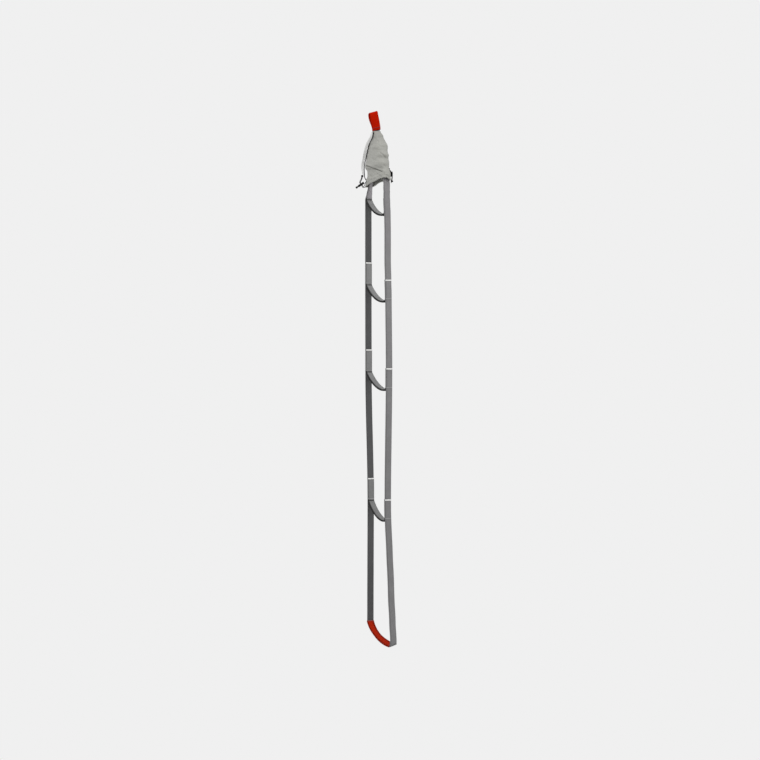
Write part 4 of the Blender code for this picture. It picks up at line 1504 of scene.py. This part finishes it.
def crease_at(across, up):
    """How far folds move the cloth at a place seen by the camera, in mm, and their shade."""
    reach, shade = 0.0, 0.0
    place = Vector((across, up))
    ridge_offset, ridge_width, ridge_share = crease_ridge
    for width, depth, line in crease_lines:
        nearest, offset = math.inf, 0.0
        for start, end in zip(line, line[1:]):
            run = Vector(end) - Vector(start)
            away = place - Vector(start)
            gap = (away - run * clamped(away.dot(run) / run.length_squared)).length
            if gap < nearest:
                nearest = gap
                offset = math.copysign(gap, run.x * away.y - run.y * away.x)
        length = min((place - Vector(tip)).length for tip in (line[0], line[-1]))
        fade = min(length / crease_end, 1.0)
        trough = math.exp(-(offset / width) ** 2)
        ridge = math.exp(-((offset - ridge_offset * width) / (ridge_width * width)) ** 2)
        reach += (ridge_share * ridge - trough) * depth * fade
        shade += trough * fade * depth / 3
    return reach * MM, shade


def folded(point, normal, loose):
    """The pouch's cloth pulled in and out by folds and rumples, and how much painted shade its
    crease gets.

    The camera's side has the folds that the picture shows, and the far side has them mirrored.
    """
    middle = Vector((0, ladder_drift, camera_height))
    nearer = camera_distance / (camera_distance - (point - middle).dot(camera_towards))
    across = (point - middle).dot(camera_side) * nearer / MM
    up = (camera_height + (point.z - camera_height) * nearer) / MM
    facing = normal.dot(camera_towards)
    strength = clamped(abs(facing) * 3)
    if facing <= 0:
        across, up = 3 - across * 0.85, up * 1.04 + 9
    reach, shade = crease_at(across, up)
    spot = Vector((point.x * 42, point.y * 42, point.z * 85))
    rumple = noise.noise(spot) + 0.5 * noise.noise(spot * 2.3)
    slanted = Vector((point.x * 20 + point.z * 18, point.y * 20, point.z * 50 + 7))
    ridge = 0.5 - abs(noise.noise(slanted))
    above_hem = pouch_levels[-1][0] - back_hem_rise + point.z
    held = min((-point.z - pouch_levels[0][0]) / top_hold, 1) * min(above_hem / hem_hold + 0.35, 1)
    out = reach * strength + rumple * rumple_height + ridge * ridge_height * rumple_height
    out *= max(held, 0.15)
    out -= between(tuck_levels, -point.z) * max(-normal.dot(camera_side), 0) ** 2
    out = min(out, out * loose)
    # Painted shade for the creases: along the folds and in the rumples' hollows
    crease = shade * strength + max(-ridge - rumple * 0.3, 0) * 0.4
    return point + normal * out, min(crease, 1.2)


def make_pouch():
    """The pouch's lofted and rumpled cloth, its rolled hems and the stitching above them."""
    angles = [2 * math.pi * column / shell_columns for column in range(shell_columns)]
    bare = [[pouch_point(angle, row / shell_rows) for angle in angles]
            for row in range(shell_rows + 1)]
    rows, fold_shades = [], []
    for row in range(shell_rows + 1):
        line, fold_shade_line = [], []
        for column in range(shell_columns):
            before, after = bare[row][column - 1], bare[row][(column + 1) % shell_columns]
            upper, lower = bare[max(row - 1, 0)][column], bare[min(row + 1, shell_rows)][column]
            normal = (after - before).cross(upper - lower).normalized()
            cord = between(edge_line, row / shell_rows)
            away = abs((360 * column / shell_columns - cord + 180) % 360 - 180)
            sewn = row / shell_rows < edge_line[-1][0] + cord_hold_past
            loose = min(away / cord_hold, 1) if sewn else 1
            point, fold = folded(bare[row][column], normal, loose)
            line.append(point)
            fold_shade_line.append(fold)
        rows.append(line)
        fold_shades.append(fold_shade_line)
    mesh = shell_mesh("pouch_cloth", rows, pouch_wall, True, {"fold": fold_shades})
    cloth = piece("pouch_cloth", mesh, finishes["cloth"])
    settle(cloth, "head", "pouch_fabric", "pouch_front", "pouch_back")
    below = Vector((0, 0, -hem_radius * hem_drop_share))
    half = shell_columns // 2
    for name, start in (("back", 0), ("front", half)):
        route = [rows[-1][(start + step) % shell_columns] + below for step in range(half + 1)]
        hem = round_cord(f"{name}_rolled_hem", route, hem_radius, finishes["cloth"], sides=18,
                         spacing=1.0 * MM, lump=0.9 * MM, lump_length=7 * MM)
        settle(hem, "head", "pouch_fabric", f"{name}_hem")
    lines, sides = [], []
    for row in mouth_stitch_rows:
        line = rows[shell_rows - row]
        facing = []
        for column in range(shell_columns):
            run = line[(column + 1) % shell_columns] - line[column - 1]
            facing.append(Vector((run.y, -run.x, 0)).normalized())
        stand = pouch_wall * mouth_stitch_stand_share
        lines.append([point + out * stand for point, out in zip(line, facing)])
        sides.append(facing)
    thread = stitches("pouch_mouth_stitches", lines, sides, finishes["dark_thread"],
                      pitch=2.8 * MM, length=2.0 * MM, radius=0.22 * MM)
    settle(thread, "head", "pouch_fabric")


def dress_locks():
    """Moulded black on the cord locks."""
    for side in locks:
        for part in ("barrel", "plunger"):
            node = bpy.data.objects[f"{side}_lock_{part}"]
            for slot in node.material_slots:
                slot.material = finishes["lock"]


make_camera()
make_drawcords()
strap_line = make_edge_cord()
make_light()
make_floor()
make_clip_loop()
make_head_webbing()
make_rails()
make_steps()
make_bottom_step()
make_sewing()
make_pouch()
make_side_strap(strap_line)
make_springs()
dress_locks()

bpy.context.scene.view_settings.view_transform = "Standard"
